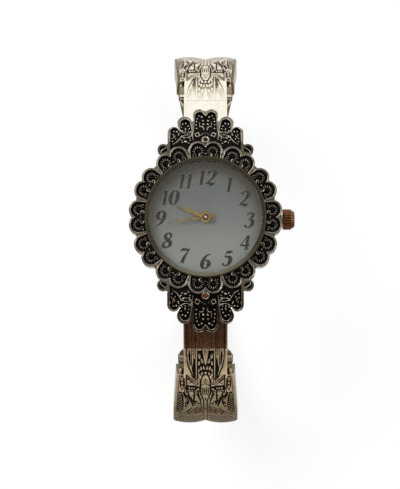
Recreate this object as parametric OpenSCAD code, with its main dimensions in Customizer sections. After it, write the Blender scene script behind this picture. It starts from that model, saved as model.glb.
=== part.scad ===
// Bangle watch: a small round quartz watch with a scalloped ornamental frame, two curved bars
// and two spring-hinged cuff arms that leave a gap under the wrist. Millimetres.
// Origin: middle of the case back's outer face. +Z is the dial side, +Y is 12 o'clock, +X the crown.

/* [Case] */
// Radius of the round case barrel
barrel_r = 11.2; // [10.9:0.1:11.6]
// Wall between the barrel and the bore that holds the movement and the dial
case_wall = 1.7; // [1.5:0.05:1.9]
// Width of the dial's edge that the case covers
dial_margin = 0.3; // [0.2:0.05:0.6]
// Thickness of the case back
back_t = 0.55; // [0.45:0.05:0.7]
// Distance of the case back's rim from the barrel
back_inset = 0.8; // [0.5:0.1:1]
// Height of the dial's face above the case back
dial_z = 3.9; // [3.8:0.05:4.1]
// Thickness of the dial
dial_t = 0.4; // [0.3:0.05:0.5]
// Height of the case neck's top, where the crystal sits
neck_z = 5.2; // [5.15:0.05:5.4]
// Thickness of the crystal
crystal_t = 0.9; // [0.7:0.05:1.2]
// Wall of the bezel ring that grips the case neck
bezel_wall = 0.25; // [0.2:0.05:0.4]
// Thickness of the lip that holds the crystal down
lip_t = 0.3; // [0.2:0.05:0.4]

/* [Ornamental frame] */
// Height of the ornamental frame's top
frame_z = 5.0; // [4.8:0.1:5.1]
// Height of the frame skirt's lower edge
skirt_z = 1.6; // [1.5:0.1:2.4]
// Distance of the lobes' centres inside the barrel
lobe_inset = 0.25; // [0:0.05:0.4]
// Radius of a lobe's outer rim
lobe_r = 1.6; // [1.45:0.05:1.7]
// Angle between a unit's middle and each of its lobes
lobe_half_angle = 6.35; // [6:0.05:6.7]
// Width of the raised rims
rim_w = 0.3; // [0.2:0.05:0.4]
// Depth of the recesses between the rims
recess_depth = 0.5; // [0.3:0.05:0.7]
// Thickness of the sloping fans
fan_t = 1.4; // [1.2:0.1:1.6]
// Distance of the fans' outer tips from the barrel
fan_len = 7.35; // [7:0.05:7.7]
// How far the fans fall from the frame's top to their tips
fan_drop = 3.4; // [3:0.1:3.8]

/* [Cuff] */
// Half the cuff's length from 12 o'clock to 6 o'clock, outside
cuff_half_len = 33; // [32:0.5:35]
// Half the cuff's height, outside
cuff_half_height = 27; // [26.6:0.2:27.8]
// How much the cuff's wide arcs rise above its two side circles
end_rise = 3; // [2.6:0.2:3.4]
// Thickness of the cuff
cuff_t = 2.8; // [2.6:0.1:3]
// Width of the bars and of the arms' upper strips
strip_w = 7.3; // [6.8:0.1:7.8]
// Widest width of an arm, half way round the wrist
arm_w = 11.4; // [10.8:0.1:12]
// Width of an arm just past its hinge
arm_neck_w = 9.6; // [9.4:0.1:10]
// Depth of the groove between an arm's two convex lobes
groove_depth = 0.45; // [0.3:0.05:0.55]
// Width of an arm's tail, under the wrist
arm_tail_w = 6.6; // [6:0.2:7.2]
// Distance of an arm's rounded tip from the middle of the gap
tip_y = 11; // [9:0.5:13]
// Corner radius of an arm's tip
tip_corner_r = 2.2; // [1.6:0.1:2.6]

/* [Hinges] */
// Distance from the hand axis to the hinge pins
pin_y = 22.4; // [22.2:0.1:22.8]
// Depth of the pins below the cuff's outer face
pin_depth = 1.85; // [1.8:0.05:2]
// Radius of a hinge pin
pin_r = 0.5; // [0.4:0.05:0.55]
// Distance from the hand axis to the joint between bar and arm
butt_y = 20.95; // [20.8:0.05:21.1]
// Largest opening angle of an arm
open_angle = 25; // [15:1:26]
// Radius of the arm's two ears round the pin
ear_r = 1.8; // [1.6:0.1:1.9]
// Overall width over the two ears
ear_span = 8.9; // [8.5:0.1:9.4]
// Radius of the bar's knuckles round the pin
knuckle_r = 1.2; // [1.1:0.05:1.25]
// Overall width of the bar's two knuckles
knuckle_w = 3.9; // [3.6:0.1:4.2]
// Width of the spring's place between the knuckles
spring_slot_w = 1.5; // [1.4:0.1:1.7]
// Radius of the hinge spring's wire
spring_wire_r = 0.11; // [0.08:0.01:0.13]
// Turns of a hinge spring
spring_turns = 4; // [3:1:4]

/* [Crown] */
// Height of the stem's axis above the case back
stem_z = 1.9; // [1.85:0.05:2]
// Radius of the stem
stem_r = 0.4; // [0.3:0.05:0.45]
// Radius of the crown over its flutes
crown_r = 1.7; // [1.5:0.05:1.8]
// Distance of the crown's inner face from the barrel
crown_gap = 1.45; // [1.4:0.05:1.8]
// Length of the crown
crown_len = 1.95; // [1.7:0.05:2.3]
// Number of the crown's flutes
crown_flutes = 24; // [18:2:28]
// Travel of the crown from pushed in to pulled out
crown_pull = 0.9; // [0.6:0.05:1]

/* [Hands] */
// Length of the hour hand from its axis
hour_len = 5.4; // [4.8:0.1:6]
// Length of the minute hand from its axis
minute_len = 6.3; // [5.8:0.1:7]
// Length of the hands' tails
tail_len = 1.7; // [1.4:0.1:2]
// Half the width of the hands' tails
tail_half_w = 0.36; // [0.3:0.02:0.44]
// Widest width of the hour hand
hour_w = 0.65; // [0.6:0.05:0.95]
// Widest width of the minute hand
minute_w = 0.45; // [0.4:0.05:0.6]
// Thickness of the hands
hand_t = 0.12; // [0.1:0.01:0.15]
// Hour shown by the hands
time_h = 9; // [0:1:11]
// Minutes shown by the hands
time_min = 43.5; // [0:0.5:59.5]

/* [Movement] */
// Wall of the plastic ring round the main plate
holder_wall = 0.9; // [0.85:0.05:1]
// Radius of the battery as a share of the main plate's
battery_share = 0.337; // [0.32:0.005:0.343]
// Thickness of the battery
battery_t = 1.65; // [1.4:0.05:1.7]
// Length of the motor's coil as a share of the main plate's radius
coil_share = 0.744; // [0.66:0.01:0.79]
// Radius of the motor's coil
coil_r = 0.7; // [0.6:0.05:0.75]
// Tooth module of the wheels under the dial as a share of the main plate's radius
motion_share = 0.0105; // [0.0103:0.0001:0.0107]
// Tooth module of the wheels behind the main plate as a share of its radius
train_share = 0.0087; // [0.0085:0.0001:0.0088]

/* [Clearances] */
// Radial running clearance of pins and shafts in their holes
run_gap = 0.03; // [0.02:0.005:0.05]
// Gap between parts that swing past each other
swing_gap = 0.12; // [0.1:0.01:0.15]
// Side gap between hinge ears and knuckles
side_gap = 0.1; // [0.08:0.01:0.14]

/* [Hidden] */
$fn = 72;
big_fn = 288;
small_fn = 20;
eps = 0.01;

// Radii that follow the barrel.
bore_r = barrel_r - case_wall;
sight_r = bore_r - dial_margin;
back_r = barrel_r - back_inset;
lobe_ring_r = barrel_r - lobe_inset;
fan_reach = barrel_r + fan_len;
crown_x = barrel_r + crown_gap;

// Cuff oval: two wide arcs and two end arcs that meet tangentially.
cuff_top_z = 3;
cuff_end_r = cuff_half_height - end_rise;
cuff_z = cuff_top_z - cuff_half_height;
end_y = cuff_half_len - cuff_end_r;
flat_shift = (pow(end_y, 2) - pow(end_rise, 2)) / (2 * end_rise);
flat_r = cuff_half_height + flat_shift;
function top_z(y, depth) = cuff_z - flat_shift + sqrt(pow(flat_r - depth, 2) - y * y);

// Wings: where an arm widens, past its hinge and past the end of the cuff's upper wide arc.
// Taper: where it narrows again under the wrist.
wide_arc_end_y = flat_r * end_y / norm([end_y, flat_shift]);
wing_y = max(pin_y + 2.7, wide_arc_end_y + 0.5);
wing_z = cuff_z + sqrt(pow(cuff_end_r, 2) - pow(wing_y - end_y, 2));
wing_angle = atan2(wing_z - cuff_z, wing_y - end_y);
taper_drop = 0.75 * cuff_end_r;
taper_in = (arm_w - arm_tail_w) / 2;
taper_r = (pow(taper_drop, 2) + pow(taper_in, 2)) / (2 * taper_in);
taper_x = arm_w / 2 - taper_r;
flow_r = 20;
flow_x = arm_tail_w / 2 + flow_r;
flow_drop = sqrt(pow(taper_r + flow_r, 2) - pow(flow_x - taper_x, 2));
flow_share = taper_r / (taper_r + flow_r);

// Hinge geometry in the YZ plane.
pin_z = top_z(pin_y, pin_depth);
butt_z = top_z(butt_y, 0);
swing_r = norm([butt_y - pin_y, butt_z - pin_z]);
butt_angle = atan2(butt_z - pin_z, butt_y - pin_y);
lug_angle = butt_angle + open_angle + 7;
ear_inner = knuckle_w / 2 + side_gap;
spring_r = pin_r + spring_wire_r + 0.12;
spring_leg_angle = -5;
spring_leg_len = 2.2;
spring_x = spring_slot_w / 2 - 0.2;
pin_head_r = 0.75;
pin_head_t = 0.15;
ear_corner_r = 1.6;

// Ornamental frame: one two-lobed unit for each hour.
lobe_units = 12;
skirt_gap = 0.05;
frame_plate_t = 0.95;
fan_start_y = fan_reach - 6.15;
fan_slope = fan_drop / (fan_reach - fan_start_y);
function fan_z(y) = frame_z - max(0, y - fan_start_y) * fan_slope;
fan_drop_t = fan_t * sqrt(1 + fan_slope * fan_slope);
fan_root_y = lobe_ring_r - 1.05;
fan_ring_y = fan_reach - 5.75;
fan_ring_r = 0.68;

// Stack of the case, from the crystal's seat upwards.
bezel_r = sight_r + 0.62;
neck_r = bezel_r - bezel_wall;
crystal_r = neck_r - 0.2;
crystal_z = neck_z + 0.02;
lip_z = crystal_z + crystal_t;
bezel_z = frame_z - frame_plate_t;

// Bars and their screws.
bar_block_y = lobe_ring_r + lobe_r + 0.25;
bar_block_end_y = fan_reach - 1.95;
screw_x = 2.2;
screw_y = fan_reach - 4.35;
screw_r = 0.4;
screw_head_r = 0.8;
screw_head_t = 0.55;
screw_bite = 0.9;
screw_seat_z = top_z(screw_y, cuff_t) + screw_head_t + 0.15;
screw_end_z = fan_z(screw_y) - fan_drop_t + screw_bite - 0.1;

// Movement levels and places. Its outlines are drawn for a main plate of this radius and scaled.
drawn_plate_r = 8.6;
plate_r = bore_r - holder_wall;
m = plate_r / drawn_plate_r;
battery_r = battery_share * plate_r;
battery_reach = plate_r - battery_r - 0.25;
coil_len = coil_share * plate_r;
motion_module = motion_share * plate_r;
train_module = train_share * plate_r;
back_lip_h = 0.45;
cavity_floor = back_t + 0.25;
plate_top = dial_z - dial_t;
plate_under = 1.95;
recess_floor = plate_top - 0.8;
bridge_z = cavity_floor + 0.05;
bridge_t = 0.25;
motion_distance = (12 + 36) / 2 * motion_module;
minute_wheel_angle = -42;
train_distance = (60 + 8) / 2 * train_module;
third_angle = 100;
rotor_distance = (48 + 8) / 2 * train_module;
rotor_angle = 58;
battery_angle = 205;
arbor_r = 0.15;
coil_y = 6.7 * m;
rotor_r = 0.6 * m;
stator_t = 0.3;
function polar(r, a) = [r * cos(a), r * sin(a)];
third_at = polar(train_distance, third_angle);
rotor_at = third_at + polar(rotor_distance, rotor_angle);
minute_wheel_at = polar(motion_distance, minute_wheel_angle);
battery_at = polar(battery_reach, battery_angle);
bridge_screw_at = [polar(7.3, 150) * m, polar(7.3, -60) * m, polar(7.4, 35) * m];
bridge_screw_head_t = 0.18;
pillar_r = 0.55;
lever_x = 5.2 * m;
stem_start_x = lever_x - 1.6;
lever_at = [lever_x, -2.6 * m];
dial_foot_at = [polar(7.9, 120) * m, polar(7.9, 300) * m];
crown_tube_r = 0.8;

// Tubes round the hand axis and the hands' levels.
cannon_r = 0.42;
hour_tube_r = 0.72;
centre_post_r = 0.18;
hour_hand_z = dial_z + 0.35;
minute_hand_z = hour_hand_z + 0.34;
hand_hub_t = 0.22;
hand_angle_min = 90 - time_min * 6;
hand_angle_hour = 90 - (time_h + time_min / 60) * 30;

// Draws a YZ outline and extrudes it along X, centred.
module along_x(width) {
    rotate([90, 0, 90]) linear_extrude(width, center = true) children();
}

// Puts a child on the 12 o'clock side, or mirrored on the 6 o'clock side.
module on_side(side) {
    if (side > 0) children();
    else mirror([0, 1, 0]) children();
}

// Round bar along X.
module x_rod(r, x0, x1) {
    translate([x0, 0, 0]) rotate([0, 90, 0]) cylinder(r = r, h = x1 - x0);
}

// Flat ring standing on z0.
module ring(r_out, r_in, z0, h) {
    translate([0, 0, z0]) difference() {
        cylinder(r = r_out, h = h);
        translate([0, 0, -eps]) cylinder(r = r_in, h = h + 2 * eps);
    }
}

// Two circles of different size joined by their outer tangents.
module taper_slot(p, rp, q, rq) {
    d = norm(q - p);
    along = atan2(q[1] - p[1], q[0] - p[0]);
    lean = acos((rp - rq) / d);
    translate(p) circle(rp);
    translate(q) circle(rq);
    polygon([
        p + polar(rp, along + lean), q + polar(rq, along + lean),
        q + polar(rq, along - lean), p + polar(rp, along - lean),
    ]);
}

// Spur wheel outline with narrow, flat-topped teeth.
module wheel_outline(teeth, module_size, turn) {
    pitch_r = teeth * module_size / 2;
    tip_r = pitch_r + module_size * 0.75;
    root_r = pitch_r - module_size * 1.15;
    step = 360 / teeth;
    polygon([
        for (i = [0:teeth - 1])
            for (c = [[-0.27, root_r], [-0.1, tip_r], [0.1, tip_r], [0.27, root_r]])
                polar(c[1], turn + (i + c[0]) * step),
    ]);
}

// Cuff oval in the YZ plane, moved inwards by a depth.
module oval(depth) {
    reach = 2 * flat_r;
    lean = [end_y, flat_shift] / norm([end_y, flat_shift]) * reach;
    for (s = [-1, 1]) translate([s * end_y, cuff_z]) circle(cuff_end_r - depth, $fn = big_fn);
    for (s = [-1, 1]) intersection() {
        translate([0, cuff_z - s * flat_shift]) circle(flat_r - depth, $fn = big_fn);
        translate([0, cuff_z - s * flat_shift])
            polygon([[0, 0], [lean[0], s * lean[1]], [-lean[0], s * lean[1]]]);
    }
}

// Slice of the cuff between two depths.
module band(depth0, depth1) {
    difference() {
        oval(depth0);
        oval(depth1);
    }
}

// Wedge at the pin that covers what lies on the bar's side of the joint.
module bar_side_wedge() {
    reach = 9;
    translate([pin_y, pin_z]) polygon(concat(
        [[0, 0]], [for (a = [0:30:150]) polar(reach, butt_angle + a)]
    ));
}

// Outline of the twelve two-lobed units.
module lobes(r) {
    for (i = [0:lobe_units - 1])
        for (s = [-1, 1])
            translate(polar(lobe_ring_r, i * 360 / lobe_units + s * lobe_half_angle)) circle(r);
}

// Open cell of each unit: two lobes inside their rim, joined to each other and open to the bezel.
module unit_cells() {
    outer = lobe_half_angle + asin((lobe_r - rim_w) / lobe_ring_r);
    inner = 180 / lobe_units - asin(rim_w / 2 / bezel_r);
    hub_r = bezel_r - 0.5;
    lobes(lobe_r - rim_w);
    for (i = [0:lobe_units - 1])
        polygon([
            for (c = [[hub_r, -inner], [lobe_ring_r, -outer], [lobe_ring_r, outer], [hub_r, inner]])
                polar(c[0], i * 360 / lobe_units + c[1])
        ]);
}

// Leaves of one fan, seen from above.
module fan_leaves() {
    for (s = [-1, 1]) {
        taper_slot([s * 1.02, fan_reach - 1.05], 1.05, [s * 0.72, fan_reach - 3.85], 0.75);
        taper_slot([s * 3.45, fan_reach - 2.6], 1.2, [s * 2.75, fan_reach - 4.45], 0.85);
        taper_slot([s * 5.22, fan_reach - 4.35], 1, [s * 5.3, fan_reach - 6.25], 0.9);
        translate([s * 6.9, fan_reach - 7.45]) circle(0.95);
    }
    translate([0, fan_reach - 0.95]) circle(0.6);
}

// Open cells of one fan: leaves inside their rims, and the field at their root that joins them.
module fan_cells() {
    in = rim_w - 0.3;
    for (s = [-1, 1]) {
        taper_slot([s * 0.95, fan_reach - 1.3], 0.8 - in, [s, fan_reach - 4.3], 0.92 - in);
        taper_slot([s * 3.35, fan_reach - 2.7], 0.8 - in, [s * 3.2, fan_reach - 4.35], 0.98 - in);
        taper_slot([s * 5.05, fan_reach - 4.25], 0.75 - in, [s * 5.1, fan_reach - 6.2], 0.72 - in);
        translate([s * 6.9, fan_reach - 7.45]) circle(0.65 - in);
    }
    polygon([
        [-0.6, fan_reach - 4.6], [-0.6, fan_reach - 1.55], [0, fan_reach - 1.2],
        [0.6, fan_reach - 1.55], [0.6, fan_reach - 4.6],
    ]);
    polygon([
        [-5.8, fan_reach - 7.4], [-5.8, fan_reach - 5.2], [-4.6, fan_reach - 4.4],
        [4.6, fan_reach - 4.4], [5.8, fan_reach - 5.2], [5.8, fan_reach - 7.4],
    ]);
}

// Web that joins a fan's leaves to each other and to the round frame.
module fan_web() {
    side = [[1.2, 1.75], [2.6, 2.55], [4.4, 4.25], [6, 4.95], [6.1, 6.35], [7.5, 7.65]];
    polygon(concat(
        [[-6.9, fan_root_y]], [for (i = [5:-1:0]) [-side[i][0], fan_reach - side[i][1]]],
        [for (p = side) [p[0], fan_reach - p[1]]], [[6.9, fan_root_y]]
    ));
}

// Slab that follows the frame's flat top and the fan's slope, from a lift above it to a depth.
module fan_slab(lift, depth) {
    far_y = fan_reach + 0.5;
    far_z = fan_z(far_y);
    along_x(2 * barrel_r) polygon([
        [fan_root_y - 1, frame_z + lift], [fan_start_y, frame_z + lift], [far_y, far_z + lift],
        [far_y, far_z - depth], [fan_start_y, frame_z - depth], [fan_root_y - 1, frame_z - depth],
    ]);
}

// One fan's body, before its recesses are cut.
module fan() {
    intersection() {
        linear_extrude(frame_z + 1) union() {
            fan_leaves();
            fan_web();
        }
        fan_slab(0, fan_drop_t);
    }
}

// Recesses of one fan, clear of its ring and of the round frame's rims.
module fan_recesses() {
    intersection() {
        linear_extrude(frame_z + 2) difference() {
            fan_cells();
            translate([0, fan_ring_y]) circle(fan_ring_r);
            lobes(lobe_r);
        }
        fan_slab(1, recess_depth);
    }
    translate([0, fan_ring_y, frame_z - 2 * recess_depth])
        cylinder(r = fan_ring_r / 2, h = 2, $fn = small_fn);
}

module case_body() {
    color("silver") difference() {
        union() {
            translate([0, 0, back_t]) cylinder(r = barrel_r, h = frame_z - frame_plate_t - back_t);
            translate([0, 0, back_t]) cylinder(r = neck_r, h = neck_z - back_t);
        }
        translate([0, 0, back_t - eps]) cylinder(r = bore_r, h = dial_z - back_t + eps);
        translate([0, 0, back_t - eps]) cylinder(r = bore_r + 0.45, h = back_lip_h + 0.05 + eps);
        cylinder(r = sight_r, h = neck_z + 1);
        translate([0, 0, stem_z]) x_rod(0.8, bore_r - 1, barrel_r + 1);
    }
}

module ornamental_frame() {
    color("dimgray") difference() {
        union() {
            difference() {
                union() {
                    translate([0, 0, skirt_z]) linear_extrude(frame_z - skirt_z) union() {
                        lobes(lobe_r);
                        circle(barrel_r + 0.45);
                    }
                    for (side = [-1, 1]) on_side(side) fan();
                }
                translate([0, 0, frame_z - recess_depth]) linear_extrude(1) unit_cells();
                for (side = [-1, 1]) on_side(side) fan_recesses();
            }
            for (i = [0:lobe_units - 1])
                for (s = [-1, 1])
                    translate(concat(polar(lobe_ring_r, i * 360 / lobe_units + s * lobe_half_angle),
                                     [frame_z - recess_depth])) sphere(0.42, $fn = small_fn);
        }
        cylinder(r = barrel_r + skirt_gap, h = frame_z - frame_plate_t);
        cylinder(r = bezel_r + skirt_gap, h = 2 * frame_z);
        translate([0, 0, stem_z]) x_rod(crown_tube_r + 0.15, barrel_r - 1, crown_x + 1);
        for (side = [-1, 1]) on_side(side) for (s = [-1, 1])
            translate([s * screw_x, screw_y, fan_z(screw_y) - fan_drop_t - 1])
                cylinder(r = screw_r, h = 1 + screw_bite, $fn = small_fn);
    }
}

module bezel_ring() {
    color("darkkhaki") rotate_extrude() polygon([
        [neck_r, bezel_z], [bezel_r, bezel_z], [bezel_r, lip_z + lip_t - 0.15],
        [bezel_r - 0.15, lip_z + lip_t], [sight_r + 0.1, lip_z + lip_t], [sight_r, lip_z + lip_t - 0.12],
        [sight_r, lip_z], [neck_r, lip_z],
    ]);
}

module crystal() {
    color("lightcyan", 0.4) translate([0, 0, crystal_z]) cylinder(r = crystal_r, h = crystal_t - eps);
}

module crystal_gasket() {
    color("ivory") ring(neck_r - 0.02, crystal_r + 0.02, crystal_z, crystal_t - 0.1);
}

module dial() {
    color("lightgray") union() {
        ring(bore_r - 0.08, hour_tube_r + 0.12, dial_z - dial_t, dial_t - 0.02);
        for (p = dial_foot_at) translate(concat(p, [dial_z - dial_t - 0.7]))
            cylinder(r = 0.3, h = 0.8, $fn = small_fn);
    }
}

module case_back() {
    color("gainsboro") difference() {
        union() {
            cylinder(r = back_r, h = back_t);
            ring(bore_r + 0.25, bore_r - 0.05, back_t - eps, back_lip_h);
        }
        translate([0, -back_r, back_t]) rotate([0, 90, 0])
            cylinder(r = 0.25, h = 3, center = true, $fn = small_fn);
    }
}

module back_gasket() {
    color("black") ring(bore_r + 0.43, bore_r + 0.27, back_t + 0.1, back_lip_h - 0.15);
}

module case_tube() {
    color("silver") translate([0, 0, stem_z]) difference() {
        x_rod(crown_tube_r, bore_r + 0.1, crown_x + 0.5);
        x_rod(stem_r + 0.08, bore_r - 1, crown_x + 1);
    }
}

module movement_holder() {
    color("white") difference() {
        ring(bore_r - 0.12, plate_r + 0.05, cavity_floor + 0.05, plate_top - cavity_floor - 0.1);
        translate([0, 0, stem_z]) x_rod(stem_r + 0.2, plate_r - 1, bore_r + 1);
    }
}

module main_plate() {
    stem_boss_x = 4 * m;
    color("goldenrod") difference() {
        union() {
            translate([0, 0, plate_under]) cylinder(r = plate_r, h = plate_top - plate_under);
            intersection() {
                translate([stem_boss_x, -1.1, 1.25]) cube([plate_r, 2.2, plate_under - 1]);
                cylinder(r = plate_r, h = 3);
            }
            translate(concat(minute_wheel_at, [recess_floor - eps]))
                cylinder(r = 0.2, h = 0.68, $fn = small_fn);
        }
        translate([0, 0, recess_floor]) linear_extrude(2) difference() {
            union() {
                circle(2.1 * m);
                translate(minute_wheel_at) circle(2 * m);
            }
            translate(minute_wheel_at) circle(0.2, $fn = small_fn);
        }
        cylinder(r = cannon_r + run_gap, h = 5);
        translate(concat(battery_at, [0])) cylinder(r = battery_r + 0.08, h = bridge_z + battery_t + 0.08);
        translate([0, coil_y, bridge_z + bridge_t + coil_r + 0.1]) rotate([0, 90, 0])
            cylinder(r = coil_r + 0.1, h = coil_len + 0.8, center = true);
        for (p = [third_at, rotor_at]) translate(concat(p, [plate_under - eps]))
            cylinder(r = arbor_r + run_gap, h = 0.3, $fn = small_fn);
        for (p = bridge_screw_at) translate(concat(p, [plate_under - 1]))
            cylinder(r = 0.3, h = 1.6, $fn = small_fn);
        translate([0, 0, stem_z]) x_rod(stem_r + run_gap, stem_start_x - 0.4, plate_r + 1);
        translate([lever_x - 0.6, -1.2, 1]) cube([crown_pull + 1.2, 2.4, 0.7]);
        translate(concat(lever_at, [plate_under - eps]))
            cylinder(r = 0.25 + run_gap, h = 0.35, $fn = small_fn);
        for (p = dial_foot_at) translate(concat(p, [plate_top - 0.8]))
            cylinder(r = 0.33, h = 1, $fn = small_fn);
    }
}

module train_bridge() {
    color("gold") difference() {
        union() {
            translate([0, 0, bridge_z]) linear_extrude(bridge_t) difference() {
                intersection() {
                    circle(plate_r - 0.1);
                    polygon([[-3.1, -1], [-1.2, -2.6], [3, -7], [9, -7], [9, -3.5], [3.1, -3.4], [3.1, 1.6],
                             [9, 3], [9, 5.6], [-9, 5.6], [-9, 2.4], [-4, 2.4]] * m);
                }
                translate(battery_at) circle(battery_r + 0.2);
            }
            for (p = bridge_screw_at) translate(concat(p, [bridge_z]))
                cylinder(r = pillar_r, h = plate_under - bridge_z);
        }
        for (p = [third_at, rotor_at]) translate(concat(p, [0]))
            cylinder(r = arbor_r + run_gap, h = 2, $fn = small_fn);
        for (p = bridge_screw_at) translate(concat(p, [0])) cylinder(r = 0.3, h = 2, $fn = small_fn);
    }
}

module bridge_screws() {
    color("silver") for (p = bridge_screw_at) translate(concat(p, [bridge_z])) difference() {
        union() {
            translate([0, 0, -bridge_screw_head_t])
                cylinder(r = 0.5, h = bridge_screw_head_t, $fn = small_fn);
            cylinder(r = 0.3, h = plate_under - bridge_z + 0.5, $fn = small_fn);
        }
        translate([0, 0, -bridge_screw_head_t]) cube([1.2, 0.12, 0.12], center = true);
    }
}

module circuit_board() {
    color("darkgreen") translate([0, 0, plate_under - 0.25]) linear_extrude(0.2) difference() {
        intersection() {
            circle(plate_r - 0.15);
            polygon([[-2.2, -3.2], [1.5, -3.2], [3.6, -4.2], [3.6, -9], [-6, -9], [-6, -6.2]] * m);
        }
        translate(battery_at) circle(battery_r + 0.2);
        for (p = bridge_screw_at) translate(p) circle(pillar_r + 0.1);
    }
}

module stator() {
    color("lightsteelblue") translate([0, 0, plate_under - 0.4]) linear_extrude(stator_t) difference() {
        union() {
            polygon([[-4.4, 5], [-1.6, 3.6], [2.6, 3.6], [4.4, 5], [4.4, 6.2], [3.6, 6.2], [3.6, 5.2],
                     [-3.6, 5.2], [-3.6, 6.2], [-4.4, 6.2]] * m);
            translate(rotor_at) circle(1.2 * m);
        }
        translate(rotor_at) circle(rotor_r + 0.18);
    }
}

module coil_core() {
    color("gray") translate([0, coil_y, bridge_z + bridge_t + coil_r + 0.1]) union() {
        x_rod(0.3, -coil_len / 2 - 0.3, coil_len / 2 + 0.3);
        for (s = [-1, 1]) translate([s * (coil_len / 2 + 0.5) - 0.4, -0.5, -0.35]) cube([0.8, 1, stator_t]);
    }
}

module coil_winding() {
    color("peru") translate([0, coil_y, bridge_z + bridge_t + coil_r + 0.1]) difference() {
        x_rod(coil_r, -coil_len / 2, coil_len / 2);
        x_rod(0.3, -coil_len, coil_len);
    }
}

module battery() {
    color("lightgray") translate(concat(battery_at, [bridge_z])) union() {
        translate([0, 0, 0.25]) cylinder(r = battery_r, h = battery_t - 0.25);
        cylinder(r = battery_r - 0.35, h = battery_t);
    }
}

module battery_clamp() {
    foot_at = [-1.4, -1.1] * m;
    strap = battery_at - foot_at;
    color("gold") translate(concat(foot_at, [bridge_z - 0.12])) linear_extrude(0.12) difference() {
        union() {
            circle(0.6);
            translate(strap) circle(1.2);
            rotate(atan2(strap[1], strap[0])) translate([0, -0.5]) square([norm(strap), 1]);
        }
        translate(strap) circle(0.4, $fn = small_fn);
    }
}

// Wheel with its own arbor behind the main plate.
module train_arbor(at) {
    translate(concat(at, [bridge_z + 0.02]))
        cylinder(r = arbor_r, h = plate_under - bridge_z + 0.2, $fn = small_fn);
}

module rotor() {
    color("dimgray") union() {
        train_arbor(rotor_at);
        translate(concat(rotor_at, [plate_under - 0.5])) cylinder(r = rotor_r, h = 0.42);
        translate(concat(rotor_at, [bridge_z + bridge_t + 0.05])) linear_extrude(0.32)
            wheel_outline(8, train_module, rotor_angle + 180);
    }
}

module third_wheel() {
    color("khaki") union() {
        train_arbor(third_at);
        translate(concat(third_at, [bridge_z + bridge_t + 0.1])) linear_extrude(0.14)
            wheel_outline(48, train_module, rotor_angle + 360 / 48 / 2);
        translate(concat(third_at, [bridge_z + bridge_t + 0.2])) linear_extrude(0.42)
            wheel_outline(8, train_module, third_angle + 180);
    }
}

module centre_wheel() {
    color("khaki") union() {
        translate([0, 0, bridge_z + bridge_t + 0.36]) linear_extrude(0.14)
            wheel_outline(60, train_module, third_angle + 360 / 60 / 2);
        translate([0, 0, bridge_z + bridge_t + 0.05])
            cylinder(r = centre_post_r, h = minute_hand_z - bridge_z - bridge_t - 0.1, $fn = small_fn);
    }
}

module cannon_pinion() {
    color("khaki") difference() {
        union() {
            translate([0, 0, plate_under - 0.15])
                cylinder(r = cannon_r, h = minute_hand_z + hand_hub_t - plate_under + 0.15);
            translate([0, 0, recess_floor + 0.06]) linear_extrude(0.24)
                wheel_outline(12, motion_module, minute_wheel_angle);
        }
        cylinder(r = centre_post_r, h = minute_hand_z - 0.05, $fn = small_fn);
    }
}

module minute_wheel() {
    color("khaki") difference() {
        translate(concat(minute_wheel_at, [0])) union() {
            translate([0, 0, recess_floor + 0.08]) linear_extrude(0.18)
                wheel_outline(36, motion_module, minute_wheel_angle + 180 + 360 / 36 / 2);
            translate([0, 0, recess_floor + 0.2]) linear_extrude(0.42)
                wheel_outline(10, motion_distance / 25, minute_wheel_angle + 180);
        }
        translate(concat(minute_wheel_at, [0])) cylinder(r = 0.2 + run_gap, h = 5, $fn = small_fn);
    }
}

module hour_wheel() {
    color("khaki") difference() {
        union() {
            translate([0, 0, recess_floor + 0.36]) linear_extrude(0.2)
                wheel_outline(40, motion_distance / 25, minute_wheel_angle + 360 / 40 / 2);
            translate([0, 0, recess_floor + 0.36])
                cylinder(r = hour_tube_r, h = hour_hand_z + hand_hub_t - recess_floor - 0.36);
        }
        cylinder(r = cannon_r + run_gap, h = 6);
    }
}

// Leaf-shaped hand pointing along +X, with a pointed tail.
module hand_outline(length, width, hub_r) {
    waist = tail_half_w / 3;
    polygon([
        [0, waist], [length * 0.3, width / 2], [length * 0.65, width * 0.3], [length, 0.03],
        [length, -0.03], [length * 0.65, -width * 0.3], [length * 0.3, -width / 2], [0, -waist],
        [-tail_len * 0.45, -tail_half_w], [-tail_len, -0.03],
        [-tail_len, 0.03], [-tail_len * 0.45, tail_half_w],
    ]);
    circle(hub_r);
}

module hour_hand() {
    color("goldenrod") difference() {
        rotate([0, 0, hand_angle_hour]) union() {
            translate([0, 0, hour_hand_z + 0.05]) linear_extrude(hand_t)
                hand_outline(hour_len, hour_w, hour_tube_r + 0.2);
            translate([0, 0, hour_hand_z]) cylinder(r = hour_tube_r + 0.2, h = hand_hub_t);
        }
        cylinder(r = hour_tube_r, h = 8);
    }
}

module minute_hand() {
    color("goldenrod") difference() {
        rotate([0, 0, hand_angle_min]) union() {
            translate([0, 0, minute_hand_z + 0.05]) linear_extrude(hand_t)
                hand_outline(minute_len, minute_w, cannon_r + 0.2);
            translate([0, 0, minute_hand_z]) cylinder(r = cannon_r + 0.2, h = hand_hub_t);
        }
        cylinder(r = cannon_r, h = 8);
    }
}

module hand_cap() {
    cap_h = 0.2;
    cap_r = cannon_r + 0.15;
    dome_r = (cap_r * cap_r + cap_h * cap_h) / (2 * cap_h);
    color("saddlebrown") translate([0, 0, minute_hand_z + hand_hub_t]) intersection() {
        cylinder(r = cap_r, h = cap_h + 1);
        translate([0, 0, cap_h - dome_r]) sphere(dome_r);
    }
}

module stem() {
    color("silver") translate([0, 0, stem_z]) difference() {
        x_rod(stem_r, stem_start_x, crown_x + 1.2);
        difference() {
            x_rod(stem_r + 1, lever_x - 0.3, lever_x + 0.3);
            x_rod(stem_r - 0.17, lever_x - 1, lever_x + 1);
        }
    }
}

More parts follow.
